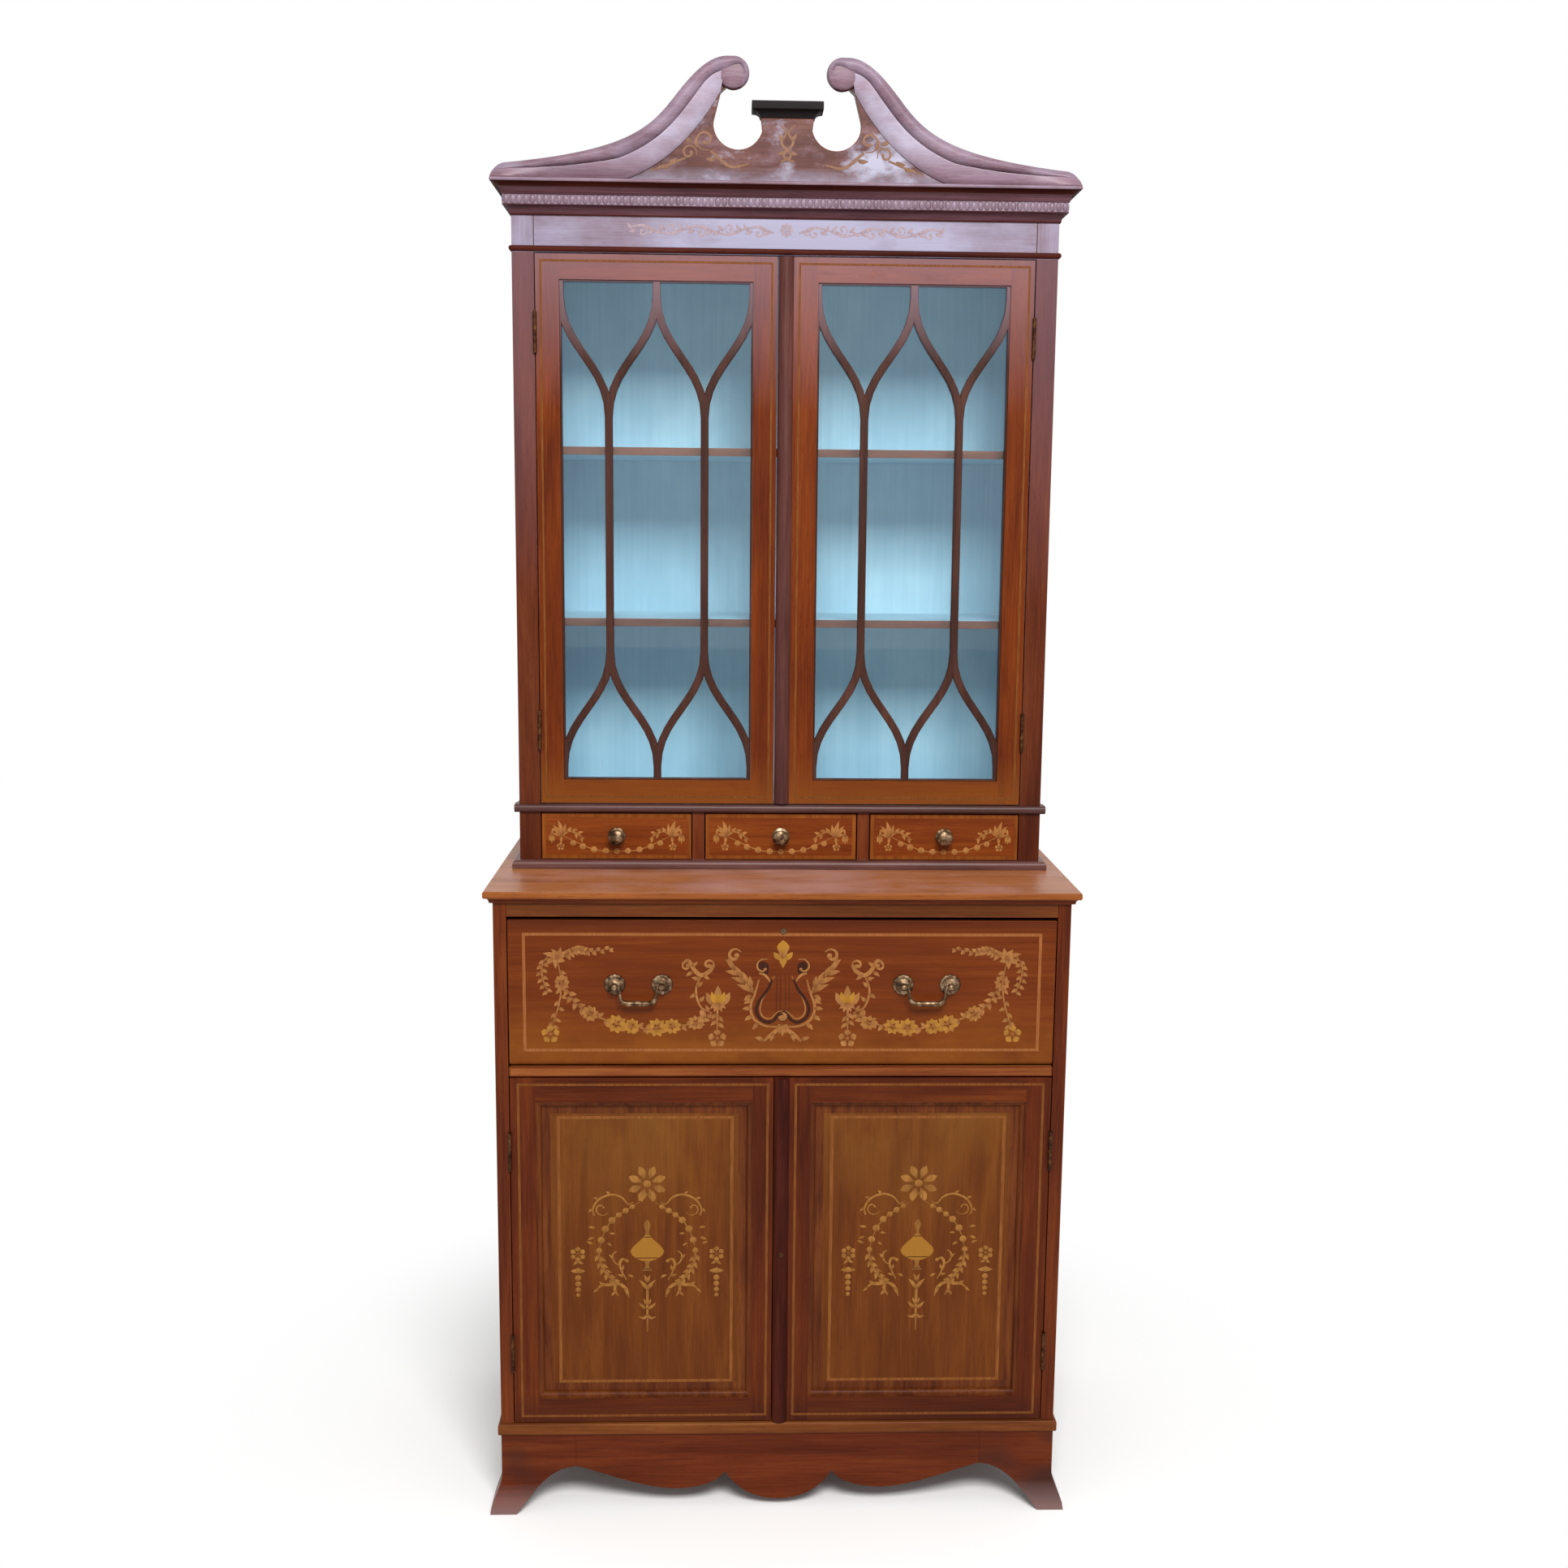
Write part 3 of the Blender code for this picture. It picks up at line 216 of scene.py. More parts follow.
@dataclass(frozen=True)
class Overlay:
    """A colour laid over the wood in patches or bands. It serves for the clouding of old polish, for painted sheen,
    highlights and reflections, for painted shadow, and for plain tints that are lighter or darker.
    """

    colour: str
    low: float  # noise below which none shows
    high: float  # noise above which it covers the wood
    most: float  # how much it covers there
    patch_mm: float = 70.0
    spots: tuple[tuple[float, float, float], ...] = ()  # x, z and reach of the strongest places, in millimetres
    rise: Optional[tuple[float, float]] = None  # heights between which it comes on, in millimetres
    detail: float = 6.0  # how broken the rims of its patches are

    def cover(self, tree: Tree, along: Socket) -> Socket:
        """Wires how much of the wood the overlay hides.

        Args:
            tree: Node tree of the material.
            along: Coordinates with the grain on Z.

        Returns:
            The share that is hidden.
        """
        haze = speckle(tree, along, self.patch_mm, 1.6, detail=self.detail, roughness=0.62)
        place = add_node(tree, "SeparateXYZ", {0: add_node(tree, "TexCoord", out="Object")}).node.outputs
        front = add_node(tree, "CombineXYZ", {"X": place["X"], "Z": place["Z"]})
        for x, z, reach in self.spots:
            spot = {0: front, 1: (x * MM, 0.0, z * MM)}
            away = add_node(tree, "VectorMath", spot, out="Value", operation="DISTANCE")
            near = {"Value": away, "From Max": reach * MM, "To Min": 0.26, "To Max": 0.0}
            haze = add_node(tree, "Math", {0: haze, 1: add_node(tree, "MapRange", near)}, operation="ADD")
        mask = {"Value": haze, "From Min": self.low, "From Max": self.high, "To Max": self.most}
        share = add_node(tree, "MapRange", mask)
        if self.rise:
            climb = {"Value": place["Z"], "From Min": self.rise[0] * MM, "From Max": self.rise[1] * MM}
            share = add_node(tree, "Math", {0: share, 1: add_node(tree, "MapRange", climb)}, operation="MULTIPLY")
        return share


@dataclass(frozen=True)
class Wood(Finish):
    """Polished timber: ribbon figure, fibre and short dark pores under a thin film of shellac."""

    dark: str
    body: str
    light: str
    figure_mm: float = 34.0
    figure_stretch: float = 11.0
    fibre_mm: float = 2.6  # real fibre is a fifth of this, too fine to show in the render
    mottle_mm: float = 160.0
    mottle: float = 0.34
    roughness: float = 0.36
    specular: float = 0.08
    overlays: tuple[Overlay, ...] = ()

    def wire(self, tree: Tree, along: Socket) -> Socket:
        """Wires figure, fibre, pores, mottling and the overlays, painted light among them, into one shader.

        Args:
            tree: Node tree of the material.
            along: Coordinates with the grain on Z.

        Returns:
            The shader.
        """
        figure = speckle(tree, along, self.figure_mm, self.figure_stretch, detail=4.0, distortion=0.5)
        fibre = speckle(tree, along, self.fibre_mm, 34.0, detail=3.0, roughness=0.65)
        pores = speckle(tree, along, self.fibre_mm * 0.8, 9.0, detail=1.0)
        patches = speckle(tree, along, self.mottle_mm, 1.8, detail=3.0)
        tone = add_node(tree, "Mix", {0: 0.4, 2: figure, 3: fibre})
        stops = ((0.34, self.dark), (0.5, self.body), (0.68, self.light))
        pore_mask = {"Value": pores, "From Min": 0.6, "From Max": 0.74, "To Max": 0.45}
        shade_mask = {"Value": patches, "From Min": 0.42, "From Max": 0.66, "To Max": self.mottle}
        layers = [(add_node(tree, "MapRange", mask), self.dark) for mask in (pore_mask, shade_mask)]
        layers += [(overlay.cover(tree, along), overlay.colour) for overlay in self.overlays]
        colour = self.layered(tree, add_node(tree, "ValToRGB", {"Fac": tone}, stops), layers)
        gloss_range = {"Value": fibre, "To Min": self.roughness - 0.06, "To Max": self.roughness + 0.1}
        gloss = add_node(tree, "MapRange", gloss_range)
        feeds = {"Base Color": colour, "Roughness": gloss, "Specular IOR Level": self.specular}
        return self.surfaced(tree, feeds, fibre, 0.12, 0.2)


@dataclass(frozen=True)
class InlayWood(Finish):
    """Thin veneer let into a ground: fine straight grain, scorched in hot sand towards one end."""

    pale: str
    body: str
    scorched: str
    gold: str
    roughness: float = 0.4

    def wire(self, tree: Tree, along: Socket) -> Socket:
        """Wires the grain, the golden pieces and the scorched ends, which the mesh carries as attributes.

        Args:
            tree: Node tree of the material.
            along: Coordinates with the grain on Z.

        Returns:
            The shader.
        """
        fibre = speckle(tree, along, 1.8, 16.0, detail=3.0)
        wear = speckle(tree, along, 24.0, 1.5, detail=4.0)
        worn = add_node(tree, "MapRange", {"Value": wear, "From Min": 0.45, "From Max": 0.7, "To Max": 0.55})
        gilt, scorch = (add_node(tree, "Attribute", out="Fac", attribute_name=name) for name in ("gilt", "scorch"))
        colour = add_node(tree, "ValToRGB", {"Fac": fibre}, ((0.36, self.body), (0.62, self.pale)))
        colour = self.layered(tree, colour, ((worn, self.body), (gilt, self.gold), (scorch, self.scorched)))
        feeds = {"Base Color": colour, "Roughness": self.roughness, "Specular IOR Level": 0.1}
        return add_node(tree, "BsdfPrincipled", feeds)


@dataclass(frozen=True)
class BrushedPaint(Finish):
    """Old eggshell oil paint, laid on by brush: soft streaks and thin places."""

    deep: str
    body: str
    pale: str

    def wire(self, tree: Tree, along: Socket) -> Socket:
        """Wires brush streaks and cloudy patches.

        Args:
            tree: Node tree of the material.
            along: Coordinates with the grain on Z.

        Returns:
            The shader.
        """
        streaks = speckle(tree, along, 7.0, 40.0, detail=3.0)
        clouds = speckle(tree, along, 150.0, 1.4, detail=4.0, roughness=0.6)
        tone = add_node(tree, "Mix", {0: 0.7, 2: streaks, 3: clouds})
        stops = ((0.34, self.deep), (0.5, self.body), (0.66, self.pale))
        colour = add_node(tree, "ValToRGB", {"Fac": tone}, stops)
        feeds = {"Base Color": colour, "Roughness": 0.55, "Specular IOR Level": 0.3}
        return self.surfaced(tree, feeds, streaks, 0.1, 0.15)


@dataclass(frozen=True)
class CastBrass(Finish):
    """Cast brass with a brown patina that rubbing has taken off the high places."""

    patina: str
    body: str
    rubbed: str

    def wire(self, tree: Tree, along: Socket) -> Socket:
        """Wires the patina's patches and the fine casting grain.

        Args:
            tree: Node tree of the material.
            along: Coordinates with the grain on Z.

        Returns:
            The shader.
        """
        patches = speckle(tree, along, 9.0, 1.0, detail=5.0, roughness=0.6)
        pits = speckle(tree, along, 1.2, 1.0, detail=2.0)
        stops = ((0.36, self.patina), (0.52, self.body), (0.68, self.rubbed))
        colour = add_node(tree, "ValToRGB", {"Fac": patches}, stops)
        gloss = add_node(tree, "MapRange", {"Value": patches, "To Min": 0.58, "To Max": 0.38})
        feeds = {"Base Color": colour, "Metallic": 1.0, "Roughness": gloss}
        return self.surfaced(tree, feeds, pits, 0.15, 0.1)


@dataclass(frozen=True)
class SheetGlass(Finish):
    """Old drawn sheet glass: nearly clear, faintly wavy, which lets daylight into the case."""

    tint: str

    def wire(self, tree: Tree, along: Socket) -> Socket:
        """Wires the pane, which shadow and diffuse rays pass straight through.

        Args:
            tree: Node tree of the material.
            along: Coordinates with the grain on Z.

        Returns:
            The shader.
        """
        waves = speckle(tree, along, 60.0, 2.0, detail=1.0)
        feeds = {"Base Color": linear(self.tint), "Roughness": 0.02, "IOR": 1.45, "Transmission Weight": 1.0}
        pane = self.surfaced(tree, feeds, waves, 0.04, 1.0)
        clear = add_node(tree, "BsdfTransparent", {"Color": linear(self.tint)})
        path = add_node(tree, "LightPath").node.outputs
        rays = {0: path["Is Shadow Ray"], 1: path["Is Diffuse Ray"]}
        through = add_node(tree, "Math", rays, operation="MAXIMUM")
        return add_node(tree, "MixShader", {0: through, 1: pane, 2: clear})


@dataclass(frozen=True)
class Leather(Finish):
    """Skiver leather of a writing surface: fine pebbled grain, darkened by hands."""

    dark: str
    body: str
    light: str

    def wire(self, tree: Tree, along: Socket) -> Socket:
        """Wires the pebbles and the handled patches.

        Args:
            tree: Node tree of the material.
            along: Coordinates with the grain on Z.

        Returns:
            The shader.
        """
        cells = add_node(tree, "TexVoronoi", {"Vector": along, "Scale": 1 / (1.6 * MM)}, out="Distance")
        clouds = speckle(tree, along, 90.0, 1.0, detail=4.0)
        stops = ((0.35, self.dark), (0.5, self.body), (0.7, self.light))
        colour = add_node(tree, "ValToRGB", {"Fac": clouds}, stops)
        feeds = {"Base Color": colour, "Roughness": 0.5, "Specular IOR Level": 0.35}
        return self.surfaced(tree, feeds, cells, 0.3, 0.2)


# Polished Cuban mahogany gives a red-brown ground with soft dark streaks
CASE_WOOD = Wood("case_mahogany", "mahogany", "#3c1306", "#57240c", "#6b3213")
APRON_WOOD = Wood("apron_mahogany", "mahogany", "#421607", "#57220c", "#693012")
# Painted light on the feet: a pale grey sheen towards the toes stands in for the sky's reflection in their polish,
# and a painted shadow darkens the right foot
FOOT_WOOD = Wood(
    "foot_mahogany", "mahogany", "#421607", "#57220c", "#693012",
    overlays=(
        Overlay("#331c17", 0.54, 0.76, 0.85, 70, spots=((455, 45, 110),), detail=0.5),
        Overlay("#8f7977", 0, 0.3, 0.6, 60, rise=(46, -8), detail=0.5),
    ),
)
# Light from above lies on the polish of the bookcase and turns it purple towards the top
UPPER_WOOD = Wood(
    "upper_mahogany", "mahogany", "#3a1508", "#502210", "#643219",
    overlays=(Overlay("#86707f", 0, 0.4, 0.3, 90, rise=(1500, 2150)),),
)
# Painted sheen: the pink of the ledges stands in for the sky's reflection in their polish
LEDGE_WOOD = Wood("ledge_mahogany", "mahogany", "#351b18", "#482a26", "#5a3c38", specular=0.25)
BED_WOOD = Wood("bed_mahogany", "mahogany", "#41221d", "#58342f", "#6f4b46", specular=0.25)
SHELF_EDGE = Wood("shelf_edge_mahogany", "mahogany", "#4f2c20", "#6b4133", "#7e5545", specular=0.2)
# The rail under the desk top is paler than the stiles beside it
TOP_RAIL_WOOD = Wood("top_rail_mahogany", "mahogany", "#432009", "#5a2d13", "#6c3b1c")
# Half-round beads down the doors catch the light from above
BEAD_WOOD = Wood("bead_mahogany", "dark_mahogany", "#371915", "#4c2924", "#603a34", specular=0.15)
# Worn arrises show paler wood where the polish has rubbed through; the same paler colour on every eased edge is also
# a painted highlight
RUBBED_AND_LIT_EDGE = Wood("rubbed_and_highlit_mahogany", "mahogany", "#4a1d0c", "#642e14", "#77401f", mottle=0.2)
# Straight-grained mahogany of the doors and drawers, lighter and more orange
GLAZED_WOOD = Wood(
    "glazed_door_mahogany", "veneer", "#451705", "#612808", "#75360e",
    overlays=(
        # A painted lilac sheen towards the top of the doors; the bottom rails are tinted golden
        Overlay("#94808c", 0, 0.4, 0.34, 60, rise=(1800, 2080)), Overlay("#7d4616", 0, 0.4, 0.5, 60, rise=(1240, 1165)),
    ),
)
CUPBOARD_WOOD = Wood(
    "cupboard_door_mahogany", "veneer", "#371103", "#4f1e08", "#632d0c",
    overlays=(Overlay("#2c0f08", 0, 0.3, 0.45, 60, rise=(205, 165)),),
)
RAIL_WOOD = Wood("rail_mahogany", "mahogany", "#4c230d", "#673615", "#79471f")
DRAWER_VENEER = Wood("drawer_veneer", "veneer", "#5b230a", "#6f320d", "#7f3f13", figure_mm=18, mottle=0.2)
# Faded, golden mahogany of the panels and the fall
PANEL_VENEER = Wood(
    "panel_veneer", "veneer", "#4c2208", "#5b2d0b", "#6a3a11", figure_mm=20, mottle=0.25,
    overlays=(Overlay("#72491b", 0.36, 0.7, 0.7, 150, rise=(470, 640)),),
)
FALL_VENEER = Wood(
    "fall_veneer", "veneer", "#512007", "#5d2709", "#69310e", figure_mm=16, figure_stretch=16,
    overlays=(
        # Golden towards the bottom, and a painted shadow along the top, under the overhang of the desk top
        Overlay("#78430f", 0.32, 0.62, 0.75, 110, rise=(870, 785)), Overlay("#31100a", 0, 0.3, 0.6, 60, rise=(978, 1004)),
    ),
)
DESK_VENEER = Wood(
    "desk_veneer", "veneer", "#7a4224", "#955a33", "#a46c42", specular=0.3, mottle=0.3,
    # A pink painted highlight in the middle of the desk top, standing in for reflections in its polish
    overlays=(Overlay("#b08680", 0.5, 0.85, 0.6, 80, spots=((-20, 1050, 300),)),),
)
DESK_EDGE = Wood("desk_edge_mahogany", "veneer", "#5f2c11", "#7c431d", "#8f5529", mottle=0.2)
CROSSBAND = Wood("crossband_mahogany", "mahogany", "#3d1808", "#592a10", "#6b3a16", figure_mm=12)
TULIPWOOD = Wood("tulipwood_band", "veneer", "#622d0c", "#763d12", "#864a18", figure_mm=9, mottle=0.2)
DARK_WOOD = Wood("dark_mahogany", "dark_mahogany", "#220906", "#3a140d", "#4e2015", roughness=0.5, specular=0.05)
BAR_WOOD = Wood(
    "bar_mahogany", "dark_mahogany", "#29140d", "#3b2018", "#4f2f26", roughness=0.4, specular=0.12,
    # A painted lilac sheen towards the top of the bars
    overlays=(Overlay("#8f757e", 0, 0.4, 0.6, 60, rise=(1880, 2050)),),
)
# The pearls' lilac is a painted sheen, standing in for the sky's reflection in their polish
PEARL_WOOD = Wood("pearl_mahogany", "mahogany", "#5a424a", "#745f6c", "#897787", mottle=0.3, specular=0.3)
CORNICE_WOOD = Wood("cornice_mahogany", "dark_mahogany", "#2f181c", "#45262c", "#5a3b43", mottle=0.3, specular=0.15)
# The crown's lilac is partly clouding of broken polish and partly a painted sheen that stands in for the sky's
# reflection in it; on the pediment it is paler towards the foot
PEDIMENT_WOOD = Wood(
    "weathered_sheen_mahogany", "mahogany", "#3d211e", "#58332d", "#704b43", figure_mm=22, mottle_mm=60,
    mottle=0.45, specular=0.12,
    overlays=(
        Overlay("#846c76", 0.5, 0.8, 0.6, 26), Overlay("#8f899b", 0.2, 0.66, 0.75, 30, rise=(2178, 2158)),
        Overlay(
            "#a6a5b8", 0.58, 0.88, 0.85, 20,
            spots=((152, 2200, 62), (118, 2180, 44), (188, 2180, 50), (0, 2178, 24), (-120, 2148, 34)),
        ),
    ),
)
FRIEZE_WOOD = Wood(
    "clouded_sheen_mahogany", "mahogany", "#59414b", "#6c5765", "#7e6c7e", figure_mm=26, mottle=0.2,
    # Lilac painted sheen over the frieze, with a painted highlight in its middle
    specular=0.35, overlays=(Overlay("#9a9cb7", 0.4, 0.72, 0.55, 120, spots=((20, 2078, 330),)),),
)
# A painted lilac sheen lies on the swan necks and their bosses, and it grows paler towards the top of the band
ROLL_WOOD = Wood(
    "swan_roll_mahogany", "mahogany", "#553a42", "#6d515b", "#836a75", specular=0.15,
    overlays=(Overlay("#968c9f", 0.34, 0.8, 0.6, 45, detail=3.5),),
)
BAND_WOOD = Wood(
    "swan_band_mahogany", "mahogany", "#60454d", "#7a5d68", "#8f7683", specular=0.2,
    overlays=(Overlay("#a9a5b8", 0.16, 0.78, 0.85, 40, rise=(2150, 2225), detail=3.5),),
)
BOSS_WOOD = Wood("scroll_boss_mahogany", "mahogany", "#563d44", "#6f545e", "#85707c", specular=0.15)
LINING = Wood("cedar_lining", "lining", "#4a2a18", "#6d4326", "#86593a", roughness=0.6, specular=0.2)
EBONISED = Wood("ebonised_pearwood", "ebonised", "#0d090a", "#161011", "#241c1e", roughness=0.5, specular=0.08)
# Satinwood turns from yellow to a rosy tan as its polish ages; the brightest flowers stay golden
SATINWOOD = InlayWood("satinwood_inlay", "veneer", "#98673a", "#845428", "#572d11", "#9a6c20")
SWAG_SATINWOOD = InlayWood("swag_satinwood", "veneer", "#ab7642", "#935f2f", "#5c3012", "#ab7642")
WORN_SATINWOOD = InlayWood("worn_satinwood", "veneer", "#946630", "#805322", "#552e0e", "#8c5e1c")
BOXWOOD = InlayWood("boxwood_stringing", "veneer", "#8a532a", "#774520", "#5d3319", "#8a532a")
WORN_BOXWOOD = InlayWood("worn_boxwood", "veneer", "#7d4a20", "#683a15", "#5d3319", "#7d4a20")
DARK_BOXWOOD = InlayWood("dark_boxwood", "veneer", "#704118", "#5c3110", "#4c2810", "#704118")
FADED_INLAY = InlayWood("faded_inlay", "veneer", "#84614a", "#704f3c", "#5f4330", "#84614a")
DYED_WOOD = InlayWood("dark_inlay", "ebonised", "#3a1a0c", "#2a1107", "#1d0c06", "#3a1a0c")
PALE_INLAY = InlayWood("bleached_inlay", "veneer", "#99868a", "#8c797e", "#7c686e", "#99868a")
# Distempered sky blue, brightest where the brush laid it thick
BLUE_PAINT = BrushedPaint("sky_blue_paint", "painted_wood", "#98bdd0", "#a4c7d9", "#b4d3e1")
BRASS = CastBrass("antique_brass", "brass", "#32251b", "#654e38", "#a58d72")
BRONZED = CastBrass("bronzed_hinge_brass", "brass", "#2c1a12", "#4a2f1e", "#6b4a2e")
GLASS = SheetGlass("sheet_glass", "glass", "#f4f9f9")
GREEN_SKIVER = Leather("green_skiver", "lining", "#1d2a20", "#2c3d2d", "#41543f")


def placed(name: str, data: bpy.types.ID) -> Piece:
    """Puts data into the scene as a new object, selected and active.

    Args:
        name: Name of the object.
        data: Mesh, curve, camera or lamp that it holds.

    Returns:
        The object.
    """
    piece = bpy.data.objects.new(name, data)
    bpy.context.scene.collection.objects.link(piece)
    bpy.ops.object.select_all(action="DESELECT")
    piece.select_set(True)
    bpy.context.view_layer.objects.active = piece
    return piece


def sealed(weld: float) -> None:
    """Welds the mesh that is being edited, turns its faces outward and leaves edit mode.

    Args:
        weld: Distance within which points become one.
    """
    bpy.ops.mesh.select_all(action="SELECT")
    bpy.ops.mesh.remove_doubles(threshold=weld)
    bpy.ops.mesh.normals_make_consistent(inside=False)
    bpy.ops.object.mode_set(mode="OBJECT")


def dress(piece: Piece, body: str, finish: Finish, *materials: Material, nodes: Sequence[str] = ()) -> None:
    """Gives a finished piece its materials, its body and the solids that it stands for.

    Args:
        piece: Finished piece, in its place.
        body: Body that carries it.
        finish: Main finish, whose material the piece takes when it has none and none are given.
        *materials: Materials of the mesh's slots, where it has none yet and the main finish isn't enough.
        nodes: Solids that the piece replaces.
    """
    for material in materials or (() if piece.data.materials else upright(finish)):
        piece.data.materials.append(material)
    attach(piece, body)
    if nodes:
        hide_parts(*nodes)
    log.info("%s rides on %s with %d faces", piece.name, body, len(piece.data.polygons))


def planed(piece: Piece) -> None:
    """Shades eased edges round and keeps the broad faces flat.

    Args:
        piece: Finished mesh, selected and active.
    """
    bpy.ops.object.shade_smooth_by_angle(angle=radians(FLAT_DEG))
    flat = piece.modifiers.new("flat_faces", "WEIGHTED_NORMAL")
    flat.keep_sharp = True
    flat.weight = 90
    bpy.ops.object.modifier_apply(modifier=flat.name)


def softened(
    node: str, name: str, materials: Sequence[Material], body: str, finish: Finish,
    edge: float = 0.8 * MM, cuts: Sequence[tuple[Point, Point]] = (), choose: Optional[Chooser] = None,
    rounded: Optional[tuple[Callable[[Edge], bool], float, int]] = None,
) -> None:
    """Copies a solid, welds it, eases its edges as a plane and sandpaper do, and dresses it in the solid's place.

    Args:
        node: Solid to copy.
        name: Name of the new piece.
        materials: Finishes of the faces; the last one shows on the eased edges.
        body: Body that carries it.
        finish: Main finish, handed on to dress.
        edge: Width of the eased edges.
        cuts: Planes, as a point and a normal, along which faces are parted between two finishes.
        choose: Gives the slot of a face from its middle and its normal.
        rounded: Test for the edges to round over, the radius and the number of steps.
    """
    piece = placed(name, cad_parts[node].data.copy())
    piece.data.name = name
    piece.data.materials.clear()
    for material in materials:
        piece.data.materials.append(material)
    bpy.ops.mesh.customdata_custom_splitnormals_clear()
    bpy.ops.object.mode_set(mode="EDIT")
    bpy.ops.mesh.select_all(action="SELECT")
    bpy.ops.mesh.remove_doubles(threshold=WELD)
    bpy.ops.mesh.dissolve_limited(angle_limit=radians(0.5))
    for place, normal in cuts:
        bpy.ops.mesh.select_all(action="SELECT")
        bpy.ops.mesh.bisect(plane_co=place, plane_no=normal)
    if rounded:
        test, radius, steps = rounded
        bpy.ops.mesh.select_all(action="DESELECT")
        bpy.ops.mesh.select_mode(type="EDGE")
        shape = bmesh.from_edit_mesh(piece.data)
        for side in shape.edges:
            side.select_set(test(side))
        bmesh.update_edit_mesh(piece.data)
        bpy.ops.mesh.bevel(offset=radius, segments=steps, affect="EDGES", clamp_overlap=True)
    bpy.ops.object.mode_set(mode="OBJECT")
    bevel = piece.modifiers.new("eased_edges", "BEVEL")
    bevel.width = edge
    bevel.segments = 2
    bevel.limit_method = "ANGLE"
    bevel.angle_limit = radians(SHARP_DEG)
    bevel.material = len(materials) - 1
    bpy.ops.object.modifier_apply(modifier=bevel.name)
    if choose:
        last = len(materials) - 1
        for face in piece.data.polygons:
            if face.material_index != last:
                face.material_index = choose(face.center, face.normal)
    planed(piece)
    dress(piece, body, finish, nodes=[node])


def swept(name: str, sections: Sequence[Sequence[Point]], ring: bool = False) -> Piece:
    """Carries a section through a row of places, as a plane carries a moulding along a board.

    Args:
        name: Name of the new piece.
        sections: Places of the section's points, in one order, at each stop.
        ring: Whether the last stop joins the first, which leaves no ends.

    Returns:
        The new piece, closed and with its faces out.
    """
    bpy.ops.object.select_all(action="DESELECT")
    fill = "NOTHING" if ring else "NGON"
    bpy.ops.mesh.primitive_circle_add(vertices=len(sections[0]), fill_type=fill)
    piece = bpy.context.active_object
    piece.name = piece.data.name = name
    bpy.ops.object.mode_set(mode="EDIT")
    shape = bmesh.from_edit_mesh(piece.data)
    for corner, place in zip(shape.verts, sections[0]):
        corner.co = place
    stops = [*sections, sections[0]] if ring else list(sections)
    for here, after in zip(stops, stops[1:]):
        bpy.ops.mesh.extrude_region_move()
        shape = bmesh.from_edit_mesh(piece.data)
        old = [Vector(p) for p in here]
        for corner in [v for v in shape.verts if v.select]:
            nearest = min(range(len(old)), key=lambda i: (old[i] - corner.co).length_squared)
            corner.co = after[nearest]
    bmesh.update_edit_mesh(piece.data)
    sealed(WELD / 5)
    piece.matrix_world = Matrix.Identity(4)
    planed(piece)
    return piece


def turned(name: str, profile: Sequence[Point], centre: Point, steps: int = 40) -> Piece:
    """Turns a profile about a line that stands out of the front.

    Args:
        name: Name of the new piece.
        profile: Radius and distance out of the front, from the tip to the back.
        centre: Point on the front under the turning's middle.
        steps: Steps of the full turn.

    Returns:
        The new piece, closed and with its faces out.
    """
    middle = Vector(centre)
    mesh = bpy.data.meshes.new(name)
    points = [middle + Vector((radius, -out, 0)) for radius, out in profile]
    mesh.from_pydata(points, [(i, i + 1) for i in range(len(points) - 1)], [])
    piece = placed(name, mesh)
    bpy.ops.object.mode_set(mode="EDIT")
    bpy.ops.mesh.select_all(action="SELECT")
    bpy.ops.mesh.spin(steps=steps, angle=2 * pi, center=middle, axis=(0, 1, 0))
    sealed(WELD / 2)
    bpy.ops.object.shade_smooth_by_angle(angle=radians(40))
    return piece


def rod(name: str, points: Sequence[Point], radii: Sequence[float]) -> Piece:
    """A cast rod of round section whose thickness changes along its way.

    Args:
        name: Name of the new piece.
        points: Places along the middle of the rod.
        radii: Radius at each place.

    Returns:
        The rod as a closed mesh.
    """
    curve = bpy.data.curves.new(name, "CURVE")
    curve.dimensions = "3D"
    curve.bevel_depth = 1.0
    curve.bevel_resolution = 4
    curve.use_fill_caps = True
    spline = curve.splines.new("POLY")
    spline.points.add(len(points) - 1)
    for knot, point, radius in zip(spline.points, points, radii):
        knot.co = (*point, 1)
        knot.radius = radius
    placed(name, curve)
    bpy.ops.object.convert(target="MESH")
    piece = bpy.context.active_object
    bpy.ops.object.mode_set(mode="EDIT")
    sealed(WELD)
    bpy.ops.object.shade_smooth_by_angle(angle=radians(50))
    return piece


def bezier(start: Point, first: Point, second: Point, end: Point, steps: int = 16) -> list[Vector]:
    """Follows a cubic curve.

    Args:
        start: Where it starts.
        first: Control point of the start.
        second: Control point of the end.
        end: Where it ends.
        steps: Number of parts.

    Returns:
        The points, both ends included.
    """
    knots = [Vector(p) for p in (start, first, second, end)]
    points = []
    for step in range(steps + 1):
        t = step / steps
        weights = ((1 - t) ** 3, 3 * t * (1 - t) ** 2, 3 * t * t * (1 - t), t**3)
        points.append(sum((w * k for w, k in zip(weights, knots)), Vector((0,) * len(knots[0]))))
    return points


def arc(centre: Point, radius: float, start_deg: float, end_deg: float, steps: int = 10) -> list[Vector]:
    """Points along an arc, both ends included."""
    turns = [radians(start_deg + (end_deg - start_deg) * s / steps) for s in range(steps + 1)]
    return [Vector(centre) + radius * Vector((cos(a), sin(a))) for a in turns]


def corners(first: Point, second: Point, inset: float = 0.0) -> list[tuple[float, float]]:
    """Corners of a rectangle over two spans, drawn in by an inset on all sides."""
    left, right, near, far = first[0] + inset, first[1] - inset, second[0] + inset, second[1] - inset
    return [(left, near), (right, near), (right, far), (left, far)]


